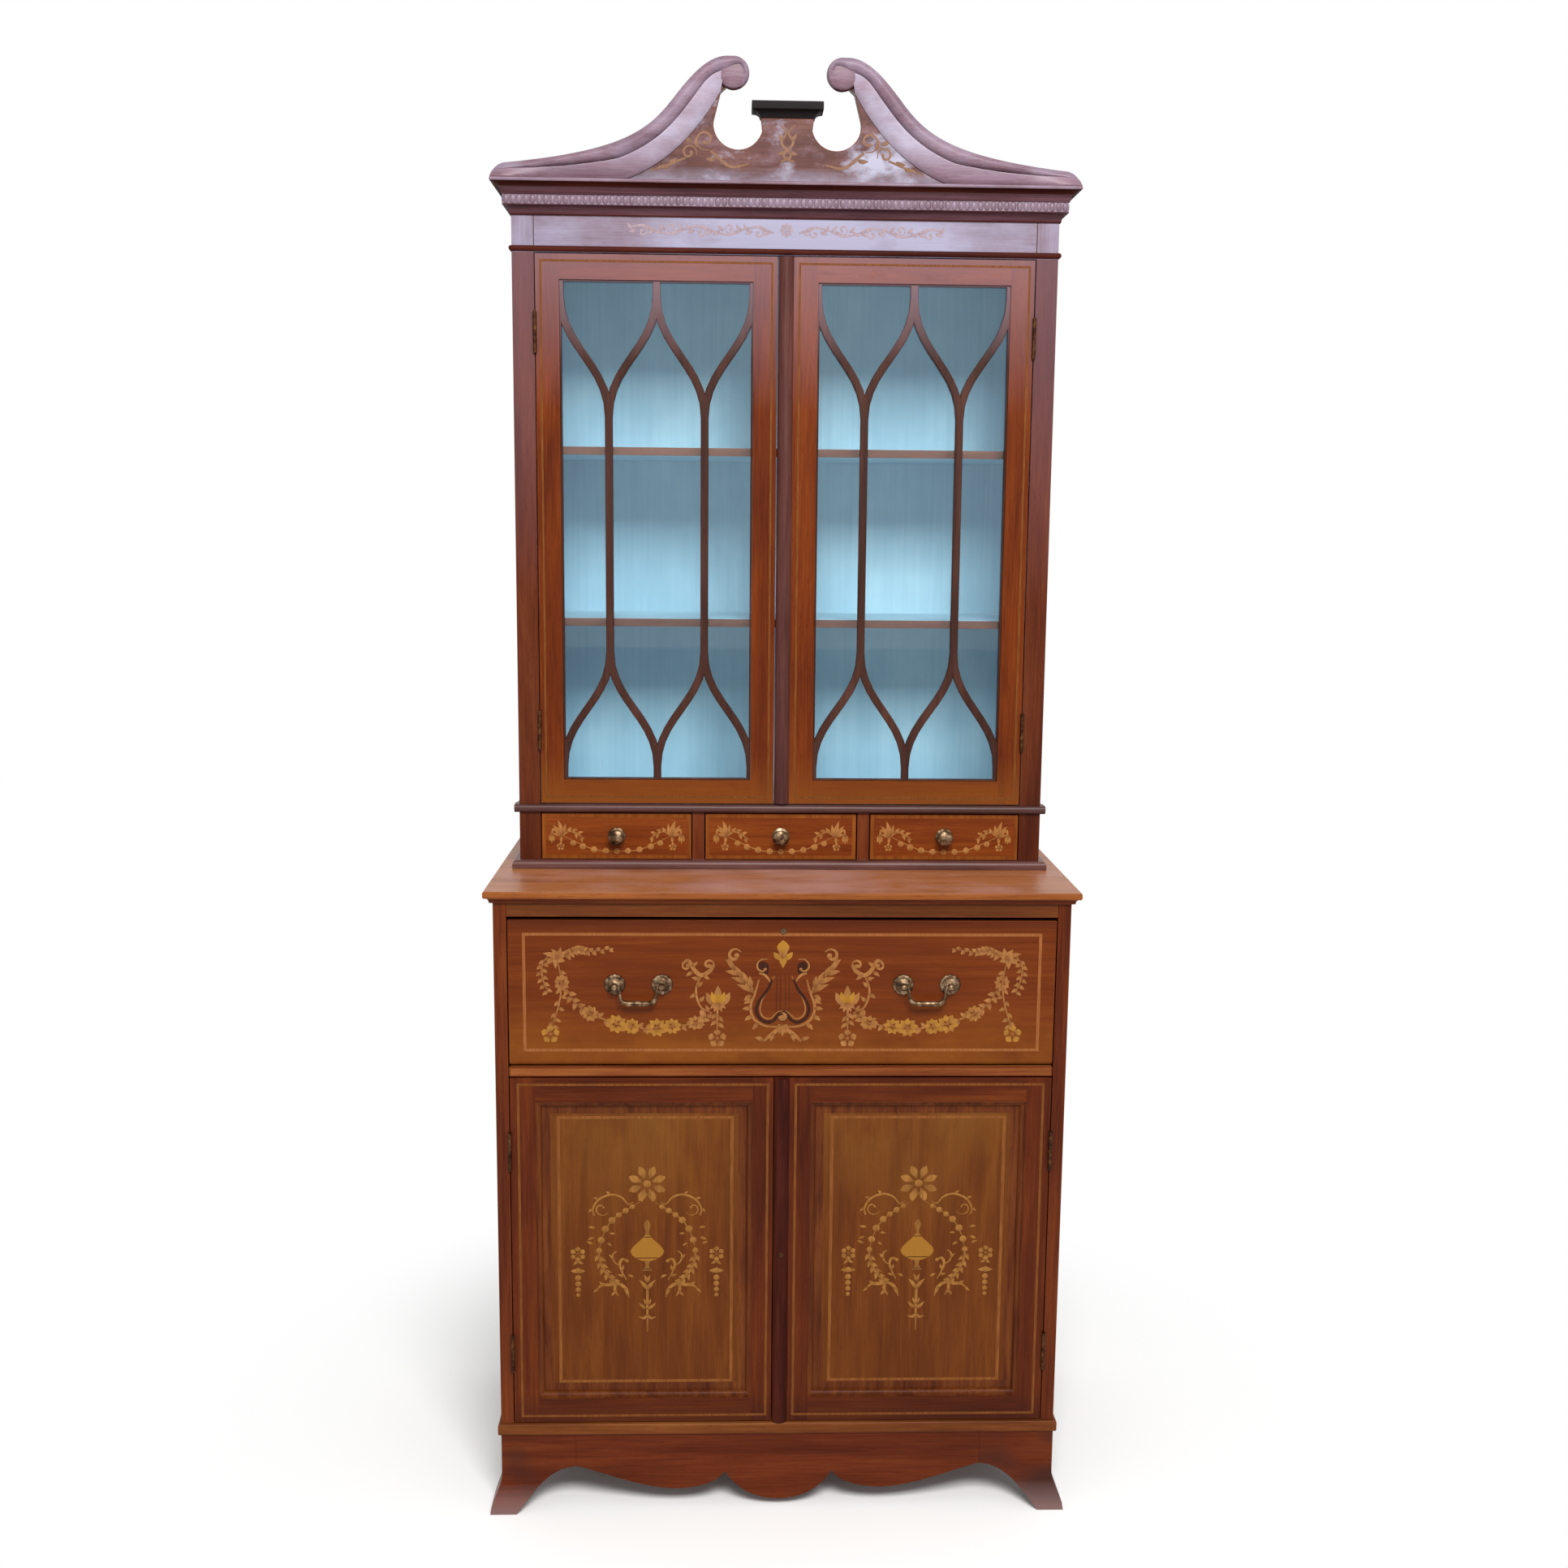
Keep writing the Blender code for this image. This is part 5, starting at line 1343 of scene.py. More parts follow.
@dataclass
class BaseCase:
    """The base: sides, rails, desk top, plinth, apron and splayed feet."""

    body: str = "case"
    plinth_round: float = 3.8 * MM
    plinth_proud: float = 5 * MM
    cove: float = 8.3 * MM  # height of the cove under the desk top's edge
    fine_edge: float = 0.05 * MM  # edges of the apron and feet, whose joints are veneered over

    def build(self) -> None:
        """Builds every piece of the base."""
        up = upright(CASE_WOOD, RUBBED_AND_LIT_EDGE)
        foot = across(FOOT_WOOD) * 2
        for side, _ in SIDES:
            softened(f"base_side_{side}", f"base_side_{side}_board", up, self.body, CASE_WOOD)
            softened(f"front_foot_{side}", f"splayed_foot_{side}", foot, self.body, FOOT_WOOD, self.fine_edge)
        for node, name, timber, edge in (
            ("apron", "shaped_apron", across(APRON_WOOD) * 2, self.fine_edge),
            ("dust_board", "rail_under_fall", across(DESK_EDGE, RUBBED_AND_LIT_EDGE), 3.0 * MM),
            ("top_rail", "rail_under_desk", across(TOP_RAIL_WOOD, RUBBED_AND_LIT_EDGE), 1.2 * MM),
        ):
            softened(node, name, timber, self.body, CASE_WOOD, edge)
        rim = (outer_rim("base_bottom", self.plinth_proud), self.plinth_round, 5)
        rail = across(RAIL_WOOD, RUBBED_AND_LIT_EDGE)
        softened("base_bottom", "plinth_moulding", rail, self.body, CASE_WOOD, 0.5 * MM, rounded=rim)
        softened("base_back", "base_back_boards", upright(LINING) * 2, self.body, LINING)
        self.desk_top()

    def desk_top(self) -> None:
        """The desk top, whose edge is a thumb moulding over a cove."""
        low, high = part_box("desk_top")
        # How far each stage of the edge stands back, and its height over the underside, in millimetres
        stages = [(9.0, 0.0), (9.0, 1.8)]
        stages += [tuple(p) for p in bezier((8.6, 2.2), (8.4, 5.6), (6.4, 7.8), (2.4, 8.2), 5)]
        stages += [(1.4, 8.4), (1.1, 9.4), (0.3, 10.2), (0, 12), (0, 16), (0.4, 18), (1.4, 19.4), (3.2, 20)]
        sections = []
        for back, up in stages:
            x0, x1, y0 = low.x + back * MM, high.x - back * MM, low.y + back * MM
            z = min(low.z + up * MM, high.z)
            sections.append([(x0, y0, z), (x1, y0, z), (x1, high.y, z), (x0, high.y, z)])
        top = swept("desk_top_board", sections)
        veneers = across(DESK_VENEER, DESK_EDGE, CASE_WOOD)
        dress(top, self.body, DESK_VENEER, *veneers, nodes=["desk_top"])
        # The cove under the thumb moulding takes the darker case wood, which paints in the shade under the desk top's
        # edge
        for face in top.data.polygons:
            if face.normal.z < 0.95:
                face.material_index = 1 if face.center.z > low.z + self.cove else 2


@dataclass
class BookCase:
    """The bookcase: sides, back, shelves, drawer bed, waist and the front frame."""

    body: str = "case"
    waist_proud: float = 8 * MM
    waist_round: float = 6 * MM
    door_depth: float = 24 * MM

    def build(self) -> None:
        """Builds every piece of the bookcase."""
        self.boards()
        self.front_frame()
        self.waist()

    def boards(self) -> None:
        """Sides, back, shelves and top, painted blue where the glass shows them, and the bed of the small drawers."""
        floor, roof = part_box("waist_board")[1].z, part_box("bookcase_top")[0].z
        cuts = [((0, 0, level), (0, 0, 1)) for level in (floor, roof)]
        plain, blue, edge = upright(LINING, BLUE_PAINT, RUBBED_AND_LIT_EDGE)
        for side, way in SIDES:
            softened(
                f"bookcase_side_{side}", f"bookcase_side_{side}_board", [UPPER_WOOD.material(), blue, edge],
                self.body, CASE_WOOD, cuts=cuts,
                choose=lambda middle, normal: int(normal.x * way < -0.9 and floor < middle.z < roof),
            )
        softened(
            "bookcase_back", "bookcase_back_boards", [plain, blue, plain], self.body, BLUE_PAINT, cuts=cuts,
            choose=lambda middle, normal: int(normal.y < -0.9 and floor < middle.z < roof),
        )
        level, front, ledge = across(BLUE_PAINT, SHELF_EDGE, BED_WOOD)
        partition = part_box("small_drawer_left")[0].z + 4 * MM
        shelf = ([level, front, front], BLUE_PAINT, 0.8 * MM, lambda _, normal: int(normal.y < -0.5))
        for node, materials, finish, width, choose in (
            ("lower_shelf", *shelf), ("upper_shelf", *shelf),
            ("bookcase_top", [level, plain, plain], BLUE_PAINT, 0.8 * MM, lambda _, normal: int(normal.z > 0.5)),
            ("drawer_bed", [ledge, edge, ledge], CASE_WOOD, 0.5 * MM, lambda middle, _: int(middle.z > partition)),
        ):
            softened(node, f"{node}_board", materials, self.body, finish, width, choose=choose)

    def front_frame(self) -> None:
        """The two stiles and the frieze between them, with the joints that show."""
        joint, frieze = frieze_joint(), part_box("neck_moulding")[0].z - 1 * MM
        materials = [*upright(UPPER_WOOD), *across(FRIEZE_WOOD), *upright(FRIEZE_WOOD, RUBBED_AND_LIT_EDGE)]

        def timber(middle: Vector, normal: Vector) -> int:
            """Chooses stile, frieze or joint.

            Args:
                middle: Middle of the face.
                normal: Way that it faces.

            Returns:
                The slot.
            """
            if middle.z < frieze:
                return 0
            return 1 if abs(middle.x) < joint else 2

        cuts = [((side * joint, 0, 0), (1, 0, 0)) for _, side in SIDES]
        cuts.append(((0, 0, frieze), (0, 0, 1)))
        softened("face_frame", "stiles_and_frieze", materials, self.body, CASE_WOOD, cuts=cuts, choose=timber)

    def waist(self) -> None:
        """The waist board, whose half-round edge runs round the case above the small drawers."""
        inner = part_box("lower_shelf")[1].x
        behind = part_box("waist_board")[0].y + self.waist_proud + self.door_depth
        softened(
            "waist_board", "waist_moulding", across(LEDGE_WOOD, BLUE_PAINT, LEDGE_WOOD), self.body,
            CASE_WOOD, cuts=[((0, behind, 0), (0, 1, 0))],
            choose=lambda middle, normal: int(normal.z > 0.9 and middle.y > behind and abs(middle.x) < inner),
            rounded=(outer_rim("waist_board", self.waist_proud), self.waist_round, 5),
        )


def frieze_joint() -> float:
    """Distance from the middle to the joints between the frieze and the stiles."""
    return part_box("lower_shelf")[1].x - FRIEZE_LAP


def surround(name: str, node: str, reach: float, profile: Sequence[Point]) -> Piece:
    """A moulding with mitred corners round the front and sides of the bookcase.

    Args:
        name: Name of the new piece.
        node: Solid whose place it takes.
        reach: How far the solid stands out of the case.
        profile: Points of its section as distance out of the case and height, closed.

    Returns:
        The new piece.
    """
    low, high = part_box(node)
    case_half, case_front = high.x - reach, low.y + reach
    sections = []
    for side, y in ((-1, high.y), (-1, None), (1, None), (1, high.y)):
        sections.append([(side * (case_half + out), case_front - out if y is None else y, z) for out, z in profile])
    return swept(name, sections)


@dataclass
class Crown:
    """Neck moulding, cornice with its reeded band, and the swan-neck pediment."""

    body: str = "case"
    cornice_reach: float = 30 * MM
    neck_reach: float = 4 * MM
    pearl_pitch: float = 10.4 * MM
    pearl_half: tuple[float, float, float] = (4.9 * MM, 2.0 * MM, 7.2 * MM)
    band_out: float = 11.5 * MM
    band_low: float = 15.4 * MM
    band_high: float = 30.0 * MM
    nose_low: float = 47.0 * MM
    foot_line: float = 2.4 * MM  # quirk at the cornice's foot, painted dark as shade
    nose_line: float = 6.5 * MM  # hollow under its nose, painted dark as shade
    swan_end: float = 26 * MM
    swan_rise: float = 190.5 * MM
    swan_proud: float = 18 * MM
    corner_width: float = 120 * MM  # stretch over which the neck swells towards the corner
    scroll_radius: float = 25 * MM
    scroll_reach: float = 85.5 * MM
    curl_deg: tuple[float, float] = (84.0, 265.0)  # stretch over which the roll curls round the boss
    curl_steps: int = 20
    curl_turn_in: int = 6  # steps in which the roll's inner edge comes in to the boss

    def build(self) -> None:
        """Builds every piece above the doors."""
        self.neck_moulding()
        self.cornice()
        self.pearls()
        self.pediment()
        for side, way in SIDES:
            self.swan_neck(side, way)
        self.inlays()

    def neck_moulding(self) -> None:
        """The thin bead between the doors and the frieze."""
        low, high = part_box("neck_moulding")
        middle, half = (low.z + high.z) / 2, (high.z - low.z) / 2
        bead = [(self.neck_reach * cos(t), middle + half * sin(t)) for t in
                [radians(-80 + 16 * i) for i in range(11)]]
        profile = [(0.3 * MM, low.z), *bead, (0.3 * MM, high.z)]
        piece = surround("neck_bead", "neck_moulding", self.neck_reach, profile)
        dress(piece, self.body, DARK_WOOD, DARK_WOOD.material(Grain.ACROSS), nodes=["neck_moulding"])

    def cornice(self) -> None:
        """The cornice: cove, flat band for the pearls, a second cove and a rounded nose."""
        low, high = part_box("cornice")
        # Distance out of the case and height over the cornice's foot, in millimetres
        profile = [(0.3, 0.0), (1.8, 0.0), (2.0, 1.4)]
        profile += [tuple(p) for p in bezier((2.4, 2.0), (3.2, 9.6), (6.8, 13.2), (11.2, 13.8), 8)]
        profile += [(12.2, 14.0), (12.4, 15.2), (11.5, 15.4), (11.5, 30.0), (13.2, 30.2), (13.6, 32.2)]
        profile += [tuple(p) for p in bezier((14.2, 32.6), (14.8, 39.6), (18.2, 43.8), (22.4, 44.9), 8)]
        profile += [(23.0, 45.2), (23.2, 46.4)]
        profile += [tuple(p) for p in arc((26.6, 49.2), 3.3, -120, 80, 10)]
        points = [(out * MM, min(low.z + up * MM, high.z)) for out, up in profile]
        points.append((0.3 * MM, high.z))
        piece = surround("cornice_moulding", "cornice", self.cornice_reach, points)
        finishes = across(CORNICE_WOOD, DARK_WOOD, PEARL_WOOD, ROLL_WOOD)
        dress(piece, self.body, CORNICE_WOOD, *finishes, nodes=["cornice"])
        # The pearls' band takes the pearl wood; the nose takes the paler roll wood as a painted highlight, and the
        # quirk and the hollow under the nose take the dark wood as painted shade
        for face in piece.data.polygons:
            up = face.center.z - low.z
            if self.band_low < up < self.band_high:
                face.material_index = 2
            elif up > self.nose_low:
                face.material_index = 3
            elif up < self.foot_line or up > self.nose_low - self.nose_line:
                face.material_index = 1

    def pearls(self) -> None:
        """The row of turned half pearls that fills the cornice's band."""
        low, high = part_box("cornice")
        half = high.x - self.cornice_reach + self.band_out
        front = low.y + self.cornice_reach - self.band_out
        level = low.z + (self.band_low + self.band_high) / 2
        bpy.ops.object.select_all(action="DESELECT")
        bpy.ops.mesh.primitive_uv_sphere_add(segments=10, ring_count=6, radius=1.0)
        piece = bpy.context.active_object
        piece.name = piece.data.name = "cornice_pearls"
        bpy.ops.object.mode_set(mode="EDIT")
        bpy.ops.mesh.bisect(plane_co=(0, 0.15, 0), plane_no=(0, 1, 0), clear_outer=True, use_fill=True)
        bpy.ops.object.mode_set(mode="OBJECT")
        pearl = piece.data.copy()
        size = Matrix.Diagonal((*self.pearl_half, 1.0))
        rows = [((-half, front), (half, front), 0)]
        rows += [((way * half, front), (way * half, high.y), way * pi / 2) for _, way in SIDES]
        places = []
        for start, end, turn in rows:
            run = Vector(end) - Vector(start)
            count = round(run.length / self.pearl_pitch)
            for i in range(count):
                spot = Vector(start) + run * (i + 0.5) / count
                places.append(Matrix.Translation((*spot, level)) @ Matrix.Rotation(turn, 4, "Z"))
        row = bmesh.new()
        for place in places:
            copy = pearl.copy()
            copy.transform(place @ size)
            row.from_mesh(copy)
            bpy.data.meshes.remove(copy)
        row.to_mesh(piece.data)
        row.free()
        bpy.data.meshes.remove(pearl)
        bpy.ops.object.shade_smooth_by_angle(angle=radians(60))
        dress(piece, self.body, PEARL_WOOD)

    def pediment(self) -> None:
        """The pierced board and the dark cap on its pedestal."""
        materials = across(PEDIMENT_WOOD, CASE_WOOD, RUBBED_AND_LIT_EDGE)
        softened(
            "pediment_board", "pierced_pediment", materials, self.body, PEDIMENT_WOOD, 1.0 * MM,
            choose=lambda middle, normal: int(normal.y > 0.5),
        )
        dark = across(EBONISED) * 2
        softened("pediment_cap", "pedestal_cap", dark, self.body, EBONISED, 1.0 * MM)

    def edges(self) -> tuple[list[Vector], list[Vector]]:
        """Draws the right swan neck.

        Returns:
            Upper and lower edges in x and z, from the corner to the scroll.
        """
        corner_x, _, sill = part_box("cornice")[1]
        nose = arc((corner_x - self.swan_end, sill), self.swan_end, 10, 90, 8)
        crest = Vector((self.scroll_reach + 9 * MM, sill + self.swan_rise))
        start = nose[-1]
        waist = start.lerp(crest, 0.73) - Vector((0, 29.8 * MM))
        slope = Vector((-22 * MM, 26 * MM))
        rise = bezier(start, start + Vector((-168 * MM, 18 * MM)), waist - slope * 1.65, waist, 24)
        rise += bezier(waist, waist + slope, (crest.x + 38 * MM, crest.y), crest, 16)[1:]
        throat = Vector((self.scroll_reach + 20 * MM, sill + self.swan_rise - self.scroll_radius * 2.08))
        foot = Vector((self.scroll_reach + 180 * MM, sill))
        lower = bezier(foot, foot + Vector((-83 * MM, 28 * MM)), throat + Vector((32 * MM, -53 * MM)), throat, 40)
        sill_line = [Vector((corner_x - 1 * MM, sill)).lerp(foot, i / 24) for i in range(24)]
        return nose + rise[1:], sill_line + lower

    def swan_neck(self, side: str, way: int) -> None:
        """A swan neck: flat band, quirk and rounded outer roll, which curls round a turned boss and dies into it.

        Args:
            side: Name of the side.
            way: 1 for the right neck and -1 for the left one.
        """
        node = f"swan_neck_{side}"
        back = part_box(node)[1].y
        upper, lower = self.edges()
        # Shares of the width from the lower edge up, and of the depth out of the board: by the scroll, then
        # by the corner, where the neck is one broad slope
        band = ((0.0, 0.02, 0.02), (0.0, 0.08, 1.5), (0.08, 0.3, 1.53), (0.25, 0.5, 1.42), (0.51, 0.6, 1.2))
        band += ((0.55, 0.58, 1.15), (0.56, 0.42, 1.12), (0.56, 0.02, 0.02))
        roll = ((0.54, 0.02, 0.02), (0.54, 0.4, 1.1), (0.57, 0.44, 1.13), (0.61, 0.68, 1.1), (0.68, 0.82, 1.03))
        roll += ((0.77, 0.9, 0.93), (0.87, 0.85, 0.78), (0.95, 0.68, 0.6), (0.99, 0.45, 0.42), (1.0, 0.28, 0.28))
        roll += ((1.0, 0.02, 0.02),)
        stops = []
        nearest = 0
        for edge in upper:
            nearest = max(nearest, min(range(len(lower)), key=lambda i: (lower[i] - edge).length_squared))
            swell = 1 - min(1.0, (upper[0].x - edge.x) / self.corner_width)
            stops.append((lower[nearest], edge, swell * swell * (3 - 2 * swell), self.swan_proud))
        eye = Vector((self.scroll_reach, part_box("cornice")[1].z + self.swan_rise - self.scroll_radius))
        throat = stops[-1][0]
        curl = []
        for i, edge in enumerate(arc(eye, self.scroll_radius, *self.curl_deg, self.curl_steps)):
            inner = throat.lerp(eye, min(1.0, (i + 1) / self.curl_turn_in))
            sink = 1 - 0.6 * (i / self.curl_steps) ** 2
            curl.append((inner, edge, 0.0, self.swan_proud * sink))
        for name, shape, finish, route in (("band", band, BAND_WOOD, stops), ("roll", roll, ROLL_WOOD, stops + curl)):
            sections = []
            for inner, edge, swell, depth in route:
                spots = [(inner.lerp(edge, share), thin + (thick - thin) * swell) for share, thin, thick in shape]
                sections.append([(way * s.x, back - out * depth, s.y) for s, out in spots])
            piece = swept(f"{node}_{name}", sections)
            nodes = [node] if name == "roll" else []
            dress(piece, self.body, finish, finish.material(Grain.ACROSS), nodes=nodes)
        r = self.scroll_radius
        shares = ((0, 12.4), (0.4, 12.2), (0.68, 11.4), (0.84, 9.8), (0.94, 7.4), (1, 4), (1, 0.3), (0, 0.3))
        profile = [(r * share, out * MM) for share, out in shares]
        boss = turned(f"scroll_boss_{side}", profile, (way * eye.x, back, eye.y), 48)
        dress(boss, self.body, BOSS_WOOD, *across(BOSS_WOOD, CORNICE_WOOD))
        # The boss's rim, which faces sideways, takes the darker cornice wood as a painted shade round it
        for face in boss.data.polygons:
            face.material_index = int(face.normal.y > -0.6)

    def inlays(self) -> None:
        """The faded scrolls let into the pediment and the frieze."""
        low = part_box("pediment_board")[0]
        inlay = CrownInlay("pediment_marquetry", low.y, (FADED_INLAY, FADED_INLAY, DYED_WOOD), foot=low.z / MM)
        inlay.both(inlay.field_scroll)
        for side in (-1, 1):
            curve = ((12, 90), (2, 78), (9, 62), (-6, 44), (10, 34))
            inlay.strand([(side * x, z) for x, z in curve], 1.0, 1.6)
            inlay.leaf(side * 6, 66, 90 - side * 50, 14, 6, 30 * side)
            inlay.leaf(side * 3, 50, -90 + side * 60, 15, 6, 30 * side)
        inlay.lay(self.body)

        foot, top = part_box("neck_moulding")[1].z / MM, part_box("cornice")[0].z / MM
        level = foot + 27
        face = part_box("face_frame")[0].y
        vine = CrownInlay("frieze_marquetry", face, (PALE_INLAY, PALE_INLAY, DYED_WOOD), foot=level)
        vine.both(vine.vine_half)
        vine.flower(0, 2, 11, 8)
        for _, side in SIDES:
            joint = side * frieze_joint() / MM
            vine.line((joint, foot - level), (joint, top - level), 0.6, InlayKind.DARK)
        vine.lay(self.body)


@dataclass
class DoorPair:
    """A pair of doors: frames with stringing and a bead on the right one, and what fills them."""

    kind: str
    stile: float
    rail: float
    meeting: float
    wood: Wood
    bead_wood: Wood = DARK_WOOD
    bead: float = 25 * MM
    string_inset: float = 11 * MM
    string_width: float = 4.0 * MM

    def sight(self, way: int) -> tuple[tuple[float, float], tuple[float, float]]:
        """Space inside a door's frame.

        Args:
            way: 1 for the right door and -1 for the left one.

        Returns:
            Its span across and its span up.
        """
        low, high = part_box(f"{self.kind}_frame_{'right' if way > 0 else 'left'}")
        near = way * (self.bead / 2 + self.meeting)
        far = high.x - self.stile if way > 0 else low.x + self.stile
        return (min(near, far), max(near, far)), (low.z + self.rail, high.z - self.rail)

    def face(self) -> float:
        """Front of the doors, without the bead."""
        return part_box(f"{self.kind}_frame_left")[0].y

    def build(self) -> None:
        """Builds both doors."""
        for side, way in SIDES:
            self.frame(side, way)
            self.stringing(side, way)
            self.infill(side, way)

    def frame(self, side: str, way: int) -> None:
        """A door frame whose grain follows its stiles and rails; the bead is darker.

        Args:
            side: Name of the side.
            way: 1 for the right door and -1 for the left one.
        """
        node = f"{self.kind}_frame_{side}"
        sight_x, sight_z = self.sight(way)
        face = self.face()
        materials = [*upright(self.wood), *across(self.wood), *upright(self.bead_wood, RUBBED_AND_LIT_EDGE)]

        def timber(middle: Vector, normal: Vector) -> int:
            """Chooses stile, rail or bead.

            Args:
                middle: Middle of the face.
                normal: Way that it faces.

            Returns:
                The slot.
            """
            if middle.y < face - 0.3 * MM:
                return 2
            inside = sight_x[0] < middle.x < sight_x[1]
            return int(inside and not sight_z[0] < middle.z < sight_z[1])

        cuts = [((x, 0, 0), (1, 0, 0)) for x in sight_x]
        name, body = f"{self.kind}_door_frame_{side}", f"{self.kind}_door_{side}"
        softened(node, name, materials, body, self.wood, cuts=cuts, choose=timber)

    def stringing(self, side: str, way: int) -> None:
        """The boxwood line near the edge of a door's frame.

        Args:
            side: Name of the side.
            way: 1 for the right door and -1 for the left one.
        """
        low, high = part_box(f"{self.kind}_frame_{side}")
        edge = low.x if way < 0 else high.x
        x = sorted(((edge - way * self.string_inset) / MM, way * (self.bead / 2 / MM + 8)))
        lines = Inlay(f"{self.kind}_stringing_{side}", self.face(), (SATINWOOD, DARK_BOXWOOD, DYED_WOOD))
        lines.frame(x, (low.z / MM + 9, high.z / MM - 9), self.string_width / MM)
        lines.lay(f"{self.kind}_door_{side}")

    def infill(self, side: str, way: int) -> None:
        """What fills the frame; each kind of door has its own.

        Args:
            side: Name of the side.
            way: 1 for the right door and -1 for the left one.
        """
        raise NotImplementedError


@dataclass
class GlazedDoors(DoorPair):
    """The glazed doors with their gothic bars."""

    kind: str = "glazed"
    stile: float = 38 * MM
    rail: float = 39.5 * MM
    meeting: float = 39.5 * MM
    wood: Wood = GLAZED_WOOD
    bead_wood: Wood = BEAD_WOOD
    string_inset: float = 7 * MM
    string_width: float = 3.2 * MM
    bar_round: float = 2.9 * MM

    def infill(self, side: str, way: int) -> None:
        """The bars, rounded over at the front, and the sheet of glass behind them.

        Args:
            side: Name of the side.
            way: 1 for the right door and -1 for the left one.
        """
        node = f"glazing_bars_{side}"
        low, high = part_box(node)

        def at_rim(point: Vector) -> bool:
            """Whether a point lies where the bars meet the frame."""
            return min(point.x - low.x, high.x - point.x, point.z - low.z, high.z - point.z) < 0.3 * MM

        def pane_edge(edge: Edge) -> bool:
            """Tests an edge: sharp, at the front and beside a pane.

            Args:
                edge: The edge.

            Returns:
                Whether it does.
            """
            ends = [v.co for v in edge.verts]
            sharp = len(edge.link_faces) == 2 and edge.calc_face_angle(0.0) > radians(SHARP_DEG)
            front = all(end.y < low.y + 0.2 * MM for end in ends)
            return sharp and front and not all(at_rim(end) for end in ends)

        materials = upright(BAR_WOOD) * 2
        name, body = f"gothic_bars_{side}", f"glazed_door_{side}"
        softened(node, name, materials, body, BAR_WOOD, 0.2 * MM, rounded=(pane_edge, self.bar_round, 4))
        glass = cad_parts[f"glass_{side}"]
        glass.data.materials.clear()
        glass.data.materials.append(GLASS.material())


@dataclass
class CupboardDoors(DoorPair):
    """The panelled doors of the cupboard, with an urn and scrolls let into each panel."""

    kind: str = "cupboard"
    stile: float = 40 * MM
    rail: float = 41 * MM
    meeting: float = 34.5 * MM
    wood: Wood = CUPBOARD_WOOD
    moulding_width: float = 9 * MM
    panel_depth: float = 11.5 * MM
    band_width: float = 13 * MM
    axis_left: float = -217 * MM  # middle of the marquetry, which isn't quite that of the panel
    axis_right: float = 225 * MM

    def infill(self, side: str, way: int) -> None:
        """The panel, the moulding round it and its marquetry.

        Args:
            side: Name of the side.
            way: 1 for the right door and -1 for the left one.
        """
        node, body = f"cupboard_panel_{side}", f"cupboard_door_{side}"
        softened(
            node, f"veneered_panel_{side}", upright(PANEL_VENEER, LINING, LINING),
            body, PANEL_VENEER, choose=lambda middle, normal: int(normal.y > 0.5),
        )
        self.moulding(side, way)
        face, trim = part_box(node)[0].y, self.moulding_width
        band = Inlay(f"panel_crossband_{side}", face, (CROSSBAND,) * 3, proud=0.12)
        x, z = [((low + trim) / MM, (high - trim) / MM) for low, high in self.sight(way)]
        band.frame(x, z, self.band_width / MM)
        band.lay(body)
        axis = self.axis_left if way < 0 else self.axis_right
        inlay = PanelInlay(f"panel_marquetry_{side}", face, (WORN_SATINWOOD, WORN_BOXWOOD, DYED_WOOD), axis / MM)
        inlay.frame((-145, 140), (217, 676), 5)
        inlay.urn()
        inlay.both(inlay.scrolls)
        inlay.lay(body)

    def moulding(self, side: str, way: int) -> None:
        """The ovolo moulding that holds the panel in its frame.

        Args:
            side: Name of the side.
            way: 1 for the right door and -1 for the left one.
        """
        sight_x, sight_z = self.sight(way)
        width, depth = self.moulding_width, self.panel_depth
        round_over = arc((0, depth), width - 1 * MM, -90, 0, 7)
        profile = [(0.0, 0.8 * MM), (1.2 * MM, 0.8 * MM), (1.4 * MM, depth - width + 1.0 * MM)]
        profile += [(p.x + 1 * MM, p.y) for p in round_over[1:]]
        profile = [(out, min(down, depth - 0.2 * MM)) for out, down in profile]
        profile.append((0.0, depth - 0.2 * MM))
        face = self.face()
        sections = [[(x, face + down, z) for x, z in corners(sight_x, sight_z, out)] for out, down in profile]
        piece = swept(f"panel_moulding_{side}", sections, ring=True)
        dress(piece, f"cupboard_door_{side}", CROSSBAND)


